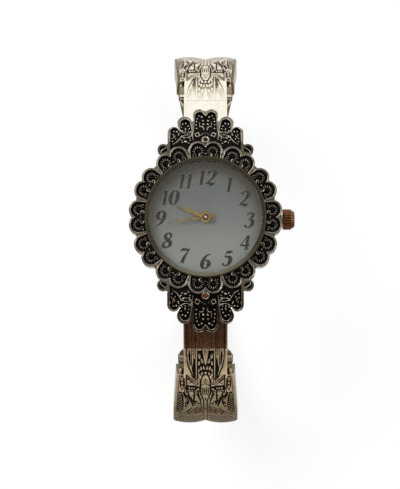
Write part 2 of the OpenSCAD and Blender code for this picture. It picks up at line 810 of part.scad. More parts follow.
module crown() {
    chamfer = 0.7;
    flute_r = 0.13;
    color("rosybrown") translate([0, 0, stem_z]) difference() {
        translate([crown_x, 0, 0]) rotate([0, 90, 0]) difference() {
            rotate_extrude() polygon([
                [0, 0], [crown_r - 0.12, 0], [crown_r, 0.15], [crown_r, crown_len - chamfer],
                [crown_r - 0.4, crown_len - 0.06], [crown_r - 0.5, crown_len], [0, crown_len],
            ]);
            for (i = [0:crown_flutes - 1]) rotate([0, 0, i * 360 / crown_flutes])
                translate([crown_r + 0.02, 0, -eps])
                    cylinder(r = flute_r, h = crown_len - chamfer + 0.1, $fn = small_fn);
        }
        x_rod(crown_tube_r + 0.18, crown_x - 1, crown_x + 0.65);
        x_rod(stem_r, crown_x, crown_x + 1.2);
    }
}

module crown_gasket() {
    color("black") translate([0, 0, stem_z]) difference() {
        x_rod(crown_tube_r + 0.16, crown_x + 0.08, crown_x + 0.42);
        x_rod(crown_tube_r + 0.02, crown_x - 1, crown_x + 1);
    }
}

// Lever that a groove in the stem swings when the crown is pulled.
module setting_lever() {
    lever_z = 1.2;
    color("silver") union() {
        translate([0, 0, lever_z]) linear_extrude(0.2) taper_slot(lever_at, 0.5, [lever_x, 0], 0.3);
        translate([lever_x, 0, lever_z])
            cylinder(r = 0.22, h = stem_z - stem_r + 0.1 - lever_z, $fn = small_fn);
        translate(concat(lever_at, [lever_z]))
            cylinder(r = 0.25, h = plate_under + 0.25 - lever_z, $fn = small_fn);
    }
}

// Curved bar from the case to the hinge, with two knuckles on a low tail.
module bar() {
    block_top = fan_drop_t;
    difference() {
        union() {
            intersection() {
                along_x(strip_w) band(0, cuff_t);
                translate([-strip_w, barrel_r / 2, -strip_w * 2])
                    cube([2 * strip_w, butt_y - barrel_r / 2, strip_w * 4]);
            }
            along_x(strip_w - 0.5) polygon([
                [bar_block_y, top_z(bar_block_y, cuff_t / 2)], [bar_block_y, fan_z(bar_block_y) - block_top],
                [bar_block_end_y, fan_z(bar_block_end_y) - block_top],
                [bar_block_end_y, top_z(bar_block_end_y, cuff_t / 2)],
            ]);
        }
        along_x(2 * strip_w) translate([pin_y, pin_z]) circle(swing_r + swing_gap);
        translate([0, 0, -strip_w]) cylinder(r = barrel_r, h = 2 * strip_w);
        for (s = [-1, 1]) translate([s * screw_x, screw_y, -strip_w]) {
            cylinder(r = screw_r, h = 2 * strip_w, $fn = small_fn);
            cylinder(r = screw_head_r + 0.05, h = strip_w + screw_seat_z);
        }
    }
    difference() {
        translate([0, pin_y, pin_z]) union() {
            along_x(knuckle_w) circle(knuckle_r);
            along_x(knuckle_w) rotate(lug_angle) square([swing_r + 0.75, knuckle_r]);
        }
        translate([0, pin_y, pin_z]) x_rod(pin_r + run_gap, -knuckle_w, knuckle_w);
        translate([0, pin_y, pin_z]) along_x(spring_slot_w) circle(knuckle_r + swing_gap);
        spring_leg_hole(-spring_x, lug_angle, spring_r);
    }
}

module upper_bar() { color("beige") bar(); }

module lower_bar() { color("beige") on_side(-1) bar(); }

module bar_screws() {
    color("silver") for (side = [-1, 1]) on_side(side) for (s = [-1, 1])
        translate([s * screw_x, screw_y, screw_seat_z]) difference() {
            union() {
                cylinder(r = screw_r, h = screw_end_z - screw_seat_z, $fn = small_fn);
                translate([0, 0, -screw_head_t]) cylinder(r = screw_head_r, h = screw_head_t);
            }
            translate([0, 0, -screw_head_t]) cube([3 * screw_head_r, 0.25, 0.5], center = true);
        }
}

// Cross-section of an arm: radius along X, width along Y, two convex lobes outside.
module arm_section(outer_r) {
    lobe_x = arm_w / 4 + 0.05;
    bulge_r = round(1000 * (pow(lobe_x, 2) + pow(groove_depth, 2)) / (2 * groove_depth)) / 1000;
    for (s = [-1, 1]) intersection() {
        translate([outer_r - bulge_r, s * lobe_x]) circle(bulge_r, $fn = big_fn);
        translate([outer_r - cuff_t, s > 0 ? -eps : -arm_w]) square([cuff_t + 1, arm_w + eps]);
    }
}

// The arm's section swept up along the end arc and down along the wide arc. Both sweeps start
// at their common seam and in its frame, where the wide arc's centre lies a round distance behind.
module arm_sweep() {
    lean = atan2(flat_shift, end_y);
    behind = round(1000 * norm([end_y, flat_shift])) / 1000;
    translate([0, end_y, cuff_z]) rotate([90, 0, 90]) rotate([0, 0, -lean]) {
        rotate_extrude(angle = lean + wing_angle, $fn = big_fn) arm_section(cuff_end_r);
        translate([-behind, 0, 0]) mirror([0, 1, 0])
            rotate_extrude(angle = 90 - lean, $fn = big_fn) arm_section(cuff_end_r + behind);
    }
}

// Curved body of an arm, from just past the hinge to the rounded tip.
module arm_body() {
    side_r = (pow(arm_w / 2 - arm_neck_w / 2, 2) + pow(wing_z - cuff_z, 2)) / (arm_w - arm_neck_w);
    reach = 2 * flat_r;
    intersection() {
        arm_sweep();
        rotate([90, 0, 0]) linear_extrude(6 * cuff_half_len, center = true)
            translate([0, cuff_z]) for (s = [0, 1]) mirror([s, 0]) side_outline(side_r);
        translate([0, 0, -reach]) linear_extrude(2 * reach) tip_outline();
    }
}

// Half of an arm's outline from the front: a wide arc above the wrist's side, a tighter one below
// it, and a hollow arc that leads into the straight tail.
module side_outline(side_r) {
    reach = 2 * cuff_half_height;
    tangent_x = taper_x + (flow_x - taper_x) * flow_share;
    tangent_drop = flow_drop * flow_share;
    intersection() {
        translate([arm_w / 2 - side_r, 0]) circle(side_r, $fn = 4 * big_fn);
        translate([-eps, 0]) square([arm_w, reach]);
    }
    intersection() {
        translate([taper_x, 0]) circle(taper_r, $fn = 4 * big_fn);
        translate([-eps, -tangent_drop]) square([arm_w, tangent_drop + eps]);
    }
    difference() {
        translate([-eps, -flow_drop]) square([tangent_x + eps, flow_drop - tangent_drop + eps]);
        translate([flow_x, -flow_drop]) circle(flow_r, $fn = 2 * big_fn);
    }
    translate([-eps, -reach]) square([arm_tail_w / 2 + eps, reach - flow_drop + eps]);
}

// Everything past the tip's rounded end, seen from above.
module tip_outline() {
    half = arm_tail_w / 2 - tip_corner_r;
    reach = 2 * cuff_half_len;
    translate([-arm_w, tip_y + tip_corner_r]) square([2 * arm_w, reach]);
    translate([-half, tip_y]) square([2 * half, reach]);
    for (s = [-1, 1]) translate([s * half, tip_y + tip_corner_r]) circle(tip_corner_r);
}

// Arm with its strip, neck and ears.
module arm() {
    difference() {
        union() {
            arm_body();
            intersection() {
                difference() {
                    union() {
                        along_x(strip_w) band(0, cuff_t);
                        intersection() {
                            along_x(ear_span) band(0.5, cuff_t);
                            ear_outline();
                        }
                    }
                    along_x(2 * ear_span) bar_side_wedge();
                }
                translate([-ear_span, butt_y - 1, -strip_w * 2])
                    cube([2 * ear_span, wing_y + 0.6 - (butt_y - 1), strip_w * 4]);
            }
            intersection() {
                translate([0, pin_y, pin_z]) for (s = [0, 1])
                    mirror([s, 0, 0]) x_rod(ear_r, ear_inner, ear_span / 2);
                ear_outline();
            }
        }
        translate([0, pin_y, pin_z]) x_rod(pin_r + 0.01, -ear_span, ear_span);
        translate([0, pin_y, pin_z]) along_x(2 * ear_inner) circle(knuckle_r + swing_gap);
        spring_leg_hole(spring_x, spring_leg_angle, -spring_r);
    }
}

// Neck and ears seen from above: they start with rounded corners at the joint.
module ear_outline() {
    corner_y = pin_y - ear_r + ear_corner_r;
    half = ear_span / 2 - ear_corner_r;
    translate([0, 0, -cuff_half_height]) linear_extrude(2 * cuff_half_height) union() {
        translate([-ear_span / 2, corner_y]) square([ear_span, cuff_half_len]);
        translate([-half, corner_y - ear_corner_r]) square([2 * half, cuff_half_len]);
        for (s = [-1, 1]) translate([s * half, corner_y]) circle(ear_corner_r);
    }
}

// Blind hole that takes one leg of the hinge spring.
module spring_leg_hole(x, angle, lift) {
    translate([x, pin_y, pin_z]) rotate([angle, 0, 0]) translate([0, 0, lift]) rotate([-90, 0, 0])
        cylinder(r = spring_wire_r + 0.06, h = spring_leg_len + 0.2, $fn = small_fn);
}

module upper_arm() { color("wheat") arm(); }

module lower_arm() { color("wheat") on_side(-1) arm(); }

module hinge_pin() {
    translate([0, pin_y, pin_z]) union() {
        x_rod(pin_r, -ear_span / 2 - eps, ear_span / 2 + eps);
        for (s = [0, 1]) mirror([s, 0, 0]) x_rod(pin_head_r, ear_span / 2, ear_span / 2 + pin_head_t);
    }
}

module upper_hinge_pin() { color("silver") hinge_pin(); }

module lower_hinge_pin() { color("silver") on_side(-1) hinge_pin(); }

// Path of the hinge spring: a leg on the bar's tail, the coil, and a leg into the arm.
spring_steps = 16;
spring_sides = 6;
spring_start = lug_angle + 90;
spring_sweep = spring_turns * 360 + (spring_leg_angle + 270) - spring_start;
function spring_coil(t) = [
    -spring_x + 2 * spring_x * t,
    spring_r * cos(spring_start + spring_sweep * t),
    spring_r * sin(spring_start + spring_sweep * t),
];
spring_bar_leg = spring_coil(0) + concat([0], polar(spring_leg_len, lug_angle));
spring_arm_leg = spring_coil(1) + concat([0], polar(spring_leg_len, spring_leg_angle));
spring_path = concat(
    [spring_bar_leg],
    [for (i = [0:spring_turns * spring_steps]) spring_coil(i / (spring_turns * spring_steps))],
    [spring_arm_leg]
);

// Tube of straight links along a path.
module wire(path, r, sides) {
    n = len(path);
    function heading(i) = path[min(i + 1, n - 1)] - path[max(i - 1, 0)];
    function unit(v) = v / norm(v);
    rings = [for (i = [0:n - 1])
        let (t = unit(heading(i)), u = unit(cross(t, [1, 0.001, 0])), w = cross(t, u))
            for (k = [0:sides - 1]) path[i] + r * (cos(k * 360 / sides) * u + sin(k * 360 / sides) * w)];
    faces = concat(
        [[for (k = [sides - 1:-1:0]) k]],
        [for (i = [0:n - 2]) for (k = [0:sides - 1])
            let (a = i * sides + k, b = i * sides + (k + 1) % sides)
                each [[a, b, b + sides], [a, b + sides, a + sides]]],
        [[for (k = [0:sides - 1]) (n - 1) * sides + k]]
    );
    polyhedron(points = rings, faces = faces);
}

module hinge_spring() {
    translate([0, pin_y, pin_z]) wire(spring_path, spring_wire_r, spring_sides);
}

module upper_hinge_spring() { color("gray") hinge_spring(); }

module lower_hinge_spring() { color("gray") on_side(-1) hinge_spring(); }

case_body();
ornamental_frame();
bezel_ring();
crystal();
crystal_gasket();
dial();
case_back();
back_gasket();
case_tube();
movement_holder();
main_plate();
train_bridge();
bridge_screws();
circuit_board();
stator();
coil_core();
coil_winding();
battery();
battery_clamp();
rotor();
third_wheel();
centre_wheel();
cannon_pinion();
minute_wheel();
hour_wheel();
hour_hand();
minute_hand();
hand_cap();
stem();
crown();
crown_gasket();
setting_lever();
upper_bar();
lower_bar();
bar_screws();
upper_arm();
lower_arm();
upper_hinge_pin();
lower_hinge_pin();
upper_hinge_spring();
lower_hinge_spring();
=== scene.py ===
"""Bangle watch: finishes, carved relief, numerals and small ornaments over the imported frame.

Sizes are in millimetres inside the classes and become metres when a mesh is made.
"""
import logging
import math
from dataclasses import dataclass, field
from enum import Enum

import bpy
import numpy as np
from mathutils import Euler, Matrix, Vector


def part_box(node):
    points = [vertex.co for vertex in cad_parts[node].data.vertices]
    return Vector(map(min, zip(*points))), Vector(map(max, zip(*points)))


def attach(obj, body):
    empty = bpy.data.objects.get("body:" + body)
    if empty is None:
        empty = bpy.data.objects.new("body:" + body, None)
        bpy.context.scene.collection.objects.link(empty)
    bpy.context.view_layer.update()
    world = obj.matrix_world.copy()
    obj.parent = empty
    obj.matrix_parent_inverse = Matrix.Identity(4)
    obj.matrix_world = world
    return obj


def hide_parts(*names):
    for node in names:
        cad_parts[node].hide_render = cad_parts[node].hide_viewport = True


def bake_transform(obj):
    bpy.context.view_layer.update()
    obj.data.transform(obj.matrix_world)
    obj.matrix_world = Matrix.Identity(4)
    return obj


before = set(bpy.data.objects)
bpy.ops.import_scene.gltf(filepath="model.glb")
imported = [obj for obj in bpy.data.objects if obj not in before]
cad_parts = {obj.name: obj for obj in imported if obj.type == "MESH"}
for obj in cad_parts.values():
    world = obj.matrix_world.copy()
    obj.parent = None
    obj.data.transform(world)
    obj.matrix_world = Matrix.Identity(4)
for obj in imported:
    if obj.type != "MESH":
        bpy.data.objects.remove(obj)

LOG = logging.getLogger("bangle_watch")
MM = 0.001
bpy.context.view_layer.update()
Point = tuple[float, float]
Place = tuple[float, float, float]
Socket = bpy.types.NodeSocket
Tree = bpy.types.NodeTree
Piece = bpy.types.Object


# ---------------------------------------------------------------- colour, nodes and meshes


def linear(code: str) -> tuple[float, float, float, float]:
    """Turns an sRGB hex colour into linear RGBA.

    Args:
        code: Colour as #RRGGBB.

    Returns:
        Linear red, green, blue and an alpha of 1.
    """
    parts = [int(code[i:i + 2], 16) / 255 for i in (1, 3, 5)]
    return (*[v / 12.92 if v <= 0.04045 else ((v + 0.055) / 1.055) ** 2.4 for v in parts], 1.0)


def add_node(tree: Tree, kind: str, inputs: dict | None = None, **settings: object) -> bpy.types.Node:
    """Adds one node with its settings and its input values or links.

    Args:
        tree: Tree that gets the node.
        kind: Node type name.
        inputs: Socket name or index, with a value or the output socket to link from.
        settings: Properties of the node.

    Returns:
        The new node.
    """
    node = tree.nodes.new(kind)
    for key, value in settings.items():
        setattr(node, key, value)
    for key, value in (inputs or {}).items():
        if isinstance(value, Socket):
            tree.links.new(value, node.inputs[key])
        else:
            node.inputs[key].default_value = value
    return node


def new_material(name: str) -> tuple[bpy.types.Material, Tree]:
    """Makes a material with an empty tree.

    Args:
        name: Name of the material.

    Returns:
        The material and its tree.
    """
    made = bpy.data.materials.new(name)
    made.use_nodes = True
    made.node_tree.nodes.clear()
    return made, made.node_tree


def new_object(name: str, data: bpy.types.ID) -> Piece:
    """Makes an object at the origin, in the scene.

    Args:
        name: Name of the object.
        data: Its mesh, curve, lamp or camera.

    Returns:
        The new object.
    """
    piece = bpy.data.objects.new(name, data)
    bpy.context.scene.collection.objects.link(piece)
    return piece


def mesh_piece(name: str, points: np.ndarray, faces: list | np.ndarray, smooth: bool = True,
               flat: np.ndarray | None = None) -> Piece:
    """Makes a mesh object at the origin from points in millimetres.

    Args:
        name: Name of the piece.
        points: Array of points.
        faces: Faces as index lists.
        smooth: Whether the faces are shaded smooth.
        flat: Mask of the faces that stay flat, in place of smooth.

    Returns:
        The new object.
    """
    mesh = bpy.data.meshes.new(name)
    mesh.from_pydata((np.asarray(points) * MM).tolist(), [], [list(map(int, f)) for f in faces])
    mesh.polygons.foreach_set("use_smooth", np.full(len(mesh.polygons), smooth) if flat is None else ~flat)
    mesh.update()
    return new_object(name, mesh)


def dress(piece: Piece, finish: "Finish", body: str) -> None:
    """Gives a new piece its material and body, and reports it.

    Args:
        piece: The piece.
        finish: Its finish.
        body: Body that it rides on.
    """
    piece.data.materials.clear()
    piece.data.materials.append(finish.material())
    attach(piece, body)
    LOG.info("%s rides on %s, %d faces", piece.name, body, len(piece.data.polygons))


def polar(radius: float, degrees: float, centre: Point = (0.0, 0.0)) -> Point:
    """Returns the point at a radius and direction from a centre."""
    a = math.radians(degrees)
    return centre[0] + radius * math.cos(a), centre[1] + radius * math.sin(a)


# ---------------------------------------------------------------- finishes


@dataclass(frozen=True)
class Finish:
    """A surface finish. Colours are sRGB hex; grain and bump are real sizes in millimetres."""

    name: str
    base: str
    accent: str
    metallic: float = 0.0
    roughness: float = 0.4
    grain_mm: float = 0.5
    bump_mm: float = 0.004
    stretch: Place = (1.0, 1.0, 1.0)
    coat: float = 0.0
    specular: float = 0.5

    def material(self) -> bpy.types.Material:
        """Makes the finish's material on its first use.

        Returns:
            The material.
        """
        known = bpy.data.materials.get(self.name)
        if known:
            return known
        made, tree = new_material(self.name)
        shader = self.build(tree, self.grain(tree, self.grain_mm))
        add_node(tree, "ShaderNodeOutputMaterial", {"Surface": shader.outputs[0]})
        return made

    def grain(self, tree: Tree, size_mm: float) -> Socket:
        """Adds a noise whose cells have a real size.

        Args:
            tree: Tree that gets the nodes.
            size_mm: Size of one cell.

        Returns:
            The noise's value.
        """
        place = add_node(tree, "ShaderNodeTexCoord").outputs["Object"]
        turned = add_node(tree, "ShaderNodeMapping", {"Vector": place, "Scale": self.stretch}).outputs[0]
        return add_node(tree, "ShaderNodeTexNoise",
                        {"Vector": turned, "Scale": 1 / (size_mm * MM), "Detail": 3.0}).outputs[0]

    def tint(self, tree: Tree, value: Socket) -> Socket:
        """Adds the base colour, which drifts between base and accent with the grain.

        Args:
            tree: Tree that gets the nodes.
            value: The grain's value.

        Returns:
            The colour.
        """
        ramp = add_node(tree, "ShaderNodeMapRange", {"Value": value, "From Min": 0.35, "From Max": 0.7}).outputs[0]
        return add_node(tree, "ShaderNodeMix", {"Factor": ramp, 6: linear(self.base), 7: linear(self.accent)},
                        data_type="RGBA").outputs[2]

    def shader(self, tree: Tree, colour: Socket, value: Socket) -> bpy.types.Node:
        """Adds the Principled shader with roughness and bump from the grain.

        Args:
            tree: Tree that gets the nodes.
            colour: The base colour.
            value: The grain's value.

        Returns:
            The shader.
        """
        rough = add_node(tree, "ShaderNodeMapRange",
                         {"Value": value, "To Min": self.roughness * 0.8, "To Max": self.roughness * 1.25}).outputs[0]
        bump = add_node(tree, "ShaderNodeBump", {"Height": value, "Strength": 0.5, "Distance": self.bump_mm * MM})
        settings = {"Base Color": colour, "Metallic": self.metallic, "Roughness": rough, "Normal": bump.outputs[0],
                    "Specular IOR Level": self.specular}
        if self.coat:
            settings |= {"Coat Weight": self.coat, "Coat Roughness": 0.08}
        return add_node(tree, "ShaderNodeBsdfPrincipled", settings)

    def build(self, tree: Tree, value: Socket) -> bpy.types.Node:
        """Builds the tree on the grain's value and returns its shader."""
        return self.shader(tree, self.tint(tree, value), value)


@dataclass(frozen=True)
class PatinatedMetal(Finish):
    """Plated metal with black patina left where a mask is low: in recesses, grooves and corners."""

    specular: float = 0.1
    patina: str = "#060302"
    patina_rough: float = 0.5
    shade: str = "#6e5f4c"
    smudge_mm: float = 0.35
    smudge: float = 0.45

    def mask(self, tree: Tree) -> Socket:
        """Returns 1 on bare metal and 0 in the patina, from the piece's relief attribute."""
        return add_node(tree, "ShaderNodeAttribute", attribute_name="relief").outputs["Fac"]

    def build(self, tree: Tree, value: Socket) -> bpy.types.Node:
        """Builds the tree, where the patina's edge is broken up by a second grain.

        Args:
            tree: Tree that gets the nodes.
            value: The grain's value.

        Returns:
            The shader.
        """
        uneven = add_node(tree, "ShaderNodeMath", {0: self.grain(tree, self.smudge_mm), 1: 0.5},
                          operation="SUBTRACT").outputs[0]
        rubbed = add_node(tree, "ShaderNodeMath", {0: uneven, 1: self.smudge, 2: self.mask(tree)},
                          operation="MULTIPLY_ADD").outputs[0]
        bare, bright = (
            add_node(tree, "ShaderNodeMapRange", {"Value": rubbed, "From Min": low, "From Max": high}).outputs[0]
            for low, high in ((0.3, 0.62), (0.45, 0.95)))
        metal = add_node(tree, "ShaderNodeMix", {
            "Factor": bright, 6: linear(self.shade), 7: self.tint(tree, value),
        }, data_type="RGBA").outputs[2]
        colour = add_node(tree, "ShaderNodeMix", {"Factor": bare, 6: linear(self.patina), 7: metal},
                          data_type="RGBA").outputs[2]
        shader = self.shader(tree, colour, value)
        metallic = add_node(tree, "ShaderNodeMath", {0: bare, 1: self.metallic}, operation="MULTIPLY").outputs[0]
        rough = add_node(tree, "ShaderNodeMapRange",
                         {"Value": bare, "To Min": self.patina_rough, "To Max": self.roughness}).outputs[0]
        tree.links.new(metallic, shader.inputs["Metallic"])
        tree.links.new(rough, shader.inputs["Roughness"])
        return shader


@dataclass(frozen=True)
class RecessedMetal(PatinatedMetal):
    """The same metal on the ornamental frame, where the mask comes from the depth under its sloping top."""

    top_mm: float = 5.0
    slope_start_mm: float = 12.4
    slope: float = 3.4 / 6.15
    recess_mm: float = 0.5

    def mask(self, tree: Tree) -> Socket:
        """Adds a mask that is 0 from just under the rims' top edges down to the recesses' floor, and 1 elsewhere.

        Args:
            tree: Tree that gets the nodes.

        Returns:
            The mask's value.
        """
        place = add_node(tree, "ShaderNodeTexCoord").outputs["Object"]
        axes = add_node(tree, "ShaderNodeSeparateXYZ", {0: place}).outputs
        value = axes[1]
        for operation, second, third in (
            ("ABSOLUTE", 0.0, 0.0),
            ("SUBTRACT", self.slope_start_mm * MM, 0.0),
            ("MAXIMUM", 0.0, 0.0),
            ("MULTIPLY_ADD", -self.slope, self.top_mm * MM),
            ("SUBTRACT", axes[2], 0.0),
            ("SUBTRACT", self.recess_mm * 0.65 * MM, 0.0),
            ("ABSOLUTE", 0.0, 0.0),
            ("GREATER_THAN", self.recess_mm * 0.5 * MM, 0.0),
        ):
            value = add_node(tree, "ShaderNodeMath", {0: value, 1: second, 2: third}, operation=operation).outputs[0]
        return value


@dataclass(frozen=True)
class FadedFinish(Finish):
    """A finish with painted light: its colour turns lighter towards six o'clock and stays darker towards twelve."""

    foot: str = "#7f817b"
    foot_y_mm: float = -9.0
    head_y_mm: float = 6.0

    def tint(self, tree: Tree, value: Socket) -> Socket:
        """Adds the grained colour blended along Y towards the lighter painted-light colour.

        Args:
            tree: Tree that gets the nodes.
            value: The grain's value.

        Returns:
            The colour.
        """
        place = add_node(tree, "ShaderNodeTexCoord").outputs["Object"]
        # Painted light: the colour lightens from twelve towards six.
        run = add_node(tree, "ShaderNodeMapRange", {
            "Value": add_node(tree, "ShaderNodeSeparateXYZ", {0: place}).outputs[1],
            "From Min": self.foot_y_mm * MM, "From Max": self.head_y_mm * MM,
        }, interpolation_type="SMOOTHSTEP").outputs[0]
        return add_node(tree, "ShaderNodeMix", {"Factor": run, 6: linear(self.foot), 7: super().tint(tree, value)},
                        data_type="RGBA").outputs[2]


@dataclass(frozen=True)
class PearlLacquer(FadedFinish):
    """Pearly lacquer with painted shade: greyer towards twelve and lighter towards six, and darker at the rim as the
    bezel's painted shadow.
    """

    smoke: str = "#2c2005"
    smoke_r_mm: Point = (7.0, 10.3)
    smoke_shift_mm: float = -1.0

    def tint(self, tree: Tree, value: Socket) -> Socket:
        """Adds the painted-light colour, darkened towards the dial's upper rim as the bezel's painted shadow.

        Args:
            tree: Tree that gets the nodes.
            value: The grain's value.

        Returns:
            The colour.
        """
        flat = add_node(tree, "ShaderNodeMapping", {
            "Vector": add_node(tree, "ShaderNodeTexCoord").outputs["Object"],
            "Location": (0, -self.smoke_shift_mm * MM, 0), "Scale": (1, 1, 0),
        }).outputs[0]
        away = add_node(tree, "ShaderNodeVectorMath", {0: flat}, operation="LENGTH").outputs["Value"]
        # Painted shade: the bezel's shadow darkens the dial towards its upper rim.
        rim = add_node(tree, "ShaderNodeMapRange", {
            "Value": away, "From Min": self.smoke_r_mm[0] * MM, "From Max": self.smoke_r_mm[1] * MM,
        }, interpolation_type="SMOOTHSTEP").outputs[0]
        return add_node(tree, "ShaderNodeMix", {"Factor": rim, 6: super().tint(tree, value), 7: linear(self.smoke)},
                        data_type="RGBA").outputs[2]


@dataclass(frozen=True)
class FlutedMetal(Finish):
    """Plated metal of a fluted knob that turns about X, with painted shade in the flutes."""

    flutes: int = 24
    axis_z_mm: float = 1.9
    dark: str = "#1c0e08"

    def tint(self, tree: Tree, value: Socket) -> Socket:
        """Adds the painted shade in the flutes and the grained colour between them.

        Args:
            tree: Tree that gets the nodes.
            value: The grain's value.

        Returns:
            The colour.
        """
        place = add_node(tree, "ShaderNodeTexCoord").outputs["Object"]
        axes = add_node(tree, "ShaderNodeSeparateXYZ", {0: place}).outputs
        wave = add_node(tree, "ShaderNodeMath", {0: axes[2], 1: self.axis_z_mm * MM}, operation="SUBTRACT").outputs[0]
        wave = add_node(tree, "ShaderNodeMath", {0: axes[1], 1: wave}, operation="ARCTAN2").outputs[0]
        wave = add_node(tree, "ShaderNodeMath", {0: wave, 1: float(self.flutes)}, operation="MULTIPLY").outputs[0]
        wave = add_node(tree, "ShaderNodeMath", {0: wave}, operation="COSINE").outputs[0]
        # Painted shade: the flutes are darkened.
        groove = add_node(tree, "ShaderNodeMapRange", {"Value": wave, "From Min": 0.1, "From Max": 0.9}).outputs[0]
        return add_node(tree, "ShaderNodeMix", {"Factor": groove, 6: super().tint(tree, value), 7: linear(self.dark)},
                        data_type="RGBA").outputs[2]


@dataclass(frozen=True)
class ClearGlass(Finish):
    """Clear mineral glass that lets the lamps through to the dial."""

    def build(self, tree: Tree, value: Socket) -> bpy.types.Node:
        """Builds glass that is transparent to shadow rays.

        Args:
            tree: Tree that gets the nodes.
            value: The grain's value.

        Returns:
            The shader.
        """
        rough = add_node(tree, "ShaderNodeMapRange", {"Value": value, "To Min": 0.0, "To Max": 0.02}).outputs[0]
        glass = add_node(tree, "ShaderNodeBsdfPrincipled", {
            "Base Color": linear(self.base), "Roughness": rough, "IOR": 1.5, "Transmission Weight": 1.0,
        })
        clear = add_node(tree, "ShaderNodeBsdfTransparent")
        ray = add_node(tree, "ShaderNodeLightPath").outputs["Is Shadow Ray"]
        return add_node(tree, "ShaderNodeMixShader", {0: ray, 1: glass.outputs[0], 2: clear.outputs[0]})


@dataclass(frozen=True)
class WoundWire(Finish):
    """Enamelled wire wound round a core: bands along X, as wide as the wire."""

    wire_mm: float = 0.16

    def build(self, tree: Tree, value: Socket) -> bpy.types.Node:
        """Builds the tree with the turns as bump.

        Args:
            tree: Tree that gets the nodes.
            value: The grain's value.

        Returns:
            The shader.
        """
        place = add_node(tree, "ShaderNodeTexCoord").outputs["Object"]
        turns = add_node(tree, "ShaderNodeTexWave", {"Vector": place, "Scale": 0.314 / (self.wire_mm * MM)},
                         wave_type="BANDS", bands_direction="X").outputs["Fac"]
        shader = self.shader(tree, self.tint(tree, turns), value)
        bump = add_node(tree, "ShaderNodeBump", {"Height": turns, "Distance": 0.06 * MM})
        tree.links.new(bump.outputs[0], shader.inputs["Normal"])
        return shader


# Zinc alloy castings plated with silver and blackened: bright on the rims, black in the recesses.
ANTIQUE_SILVER = RecessedMetal("antique_silver_recessed", "#8c8375", "#726a5d", 1.0, 0.26, 1.2, 0.01,
                               patina="#030201")
# The same plating on the rim lines and beads, rubbed clean on top: a pale glint.
RUBBED_SILVER = Finish("antique_silver_rubbed", "#cac0af", "#92897b", 1.0, 0.24, 0.6, 0.01)
# The same plating on the rosettes' petals, left dull: a soft grey sheen. On the rims' outer lines it is painted
# shade.
DULL_SILVER_AND_SHADE = Finish("antique_silver_dull_and_shade", "#b3ab9e", "#6f685e", 1.0, 0.3, 0.6, 0.01)
# Warm champagne plating on the cuff, with brown-black patina left in the carving.
CARVED_CHAMPAGNE = PatinatedMetal("champagne_carved", "#efe5cf", "#d9ccb2", 1.0, 0.26, 0.9, 0.008,
                                  patina="#0c0704", shade="#77644a")
# The bright upper strip: the same plating, painted lighter and nearly free of patina as painted light.
PAINTED_LIGHT_CHAMPAGNE = PatinatedMetal("champagne_painted_light", "#fffbee", "#f6eeda", 1.0, 0.24, 0.9, 0.006,
                                  patina="#120d09", shade="#a08d6c")
# The lower bar's reeds: the same plating, painted a coppery brown as a painted reflection of the brown surroundings.
PAINTED_BROWN_REFLECTION_CHAMPAGNE = PatinatedMetal("champagne_painted_brown_reflection", "#cfa486", "#a88467", 1.0, 0.26, 0.9, 0.008,
                                patina="#0c0502", shade="#5e412d")
# The cuff's plain faces: the same plating in an even greyish tan, darker than the carved tops.
PLAIN_CHAMPAGNE = Finish("champagne_plain", "#968c77", "#857a64", 1.0, 0.3, 0.25, 0.004)
# Case barrel, brass plated with silver and polished: it mirrors what stands round it.
CASE_SILVER = Finish("case_silver", "#d2cec6", "#b7b2a8", 1.0, 0.24, 0.8, 0.004)
# Brass bezel, turned and plated a satin olive-grey: it glows softly and doesn't mirror. It turns lighter towards six
# as painted light.
SATIN_OLIVE = FadedFinish("bezel_satin_olive", "#524e3f", "#3d3a2d", 1.0, 0.34, 0.3, 0.004,
                          foot="#908d7e", foot_y_mm=-10.4, head_y_mm=-4.0)
# Flat mineral glass, polished: clear, with a faint cool reflection.
CRYSTAL_GLASS = ClearGlass("mineral_glass", "#fbfdfd", "#ffffff", 0.0, 0.0, 5.0)
# Brass dial sprayed with pearly lacquer: an even soft grey with hardly any grain, with painted shade: greyer towards
# twelve and darker at the upper rim, lighter towards six.
PEARL_DIAL = PearlLacquer("pearl_lacquer", "#555855", "#595c59", 0.0, 0.32, 0.9, 0.0002, specular=0.15)
# Numerals, pad-printed: near-black brown ink over an olive-gold edge layer, shifted to one side as a painted
# highlight.
NUMERAL_INK = Finish("numeral_brown", "#0d0905", "#1a120a", 0.0, 0.5, 0.4, 0.001, specular=0.05)
NUMERAL_HIGHLIGHT = Finish("numeral_painted_highlight", "#7d6c43", "#96814f", 0.6, 0.3, 0.5, 0.004)
# Gilt brass hands, stamped and polished: dark gold where they mirror the room.
HAND_GILT = Finish("gilt_hand", "#8c723c", "#674c22", 1.0, 0.24, 0.8, 0.002)
# Hand cap, gilt brass toned brown and polished: a dark glossy button.
CAP_BROWN = Finish("gilt_cap_brown", "#3c2010", "#55331a", 1.0, 0.2, 0.3, 0.002)
# A painted highlight on the cap's middle: one pale point of light.
CAP_HIGHLIGHT = Finish("cap_painted_highlight", "#f3e6cf", "#d9c6a6", 1.0, 0.15, 0.3, 0.002)
# Brass crown plated with rose gold, a little worn: coppery on the ribs, with painted shade in the flutes.
ROSE_GOLD = FlutedMetal("rose_gold", "#97694c", "#744c36", 1.0, 0.28, 0.5, 0.006)
# Enamel in the fans' rings, fired: deep black with a soft gloss; the lower ring is amber as a painted reflection of
# the brown surroundings.
BLACK_ENAMEL = Finish("black_enamel", "#050302", "#0d0907", 0.0, 0.35, 0.5, 0.002, specular=0.15)
AMBER_REFLECTION_ENAMEL = Finish("enamel_painted_amber_reflection", "#6b3512", "#8a4f20", 0.0, 0.35, 0.5, 0.002, specular=0.15)
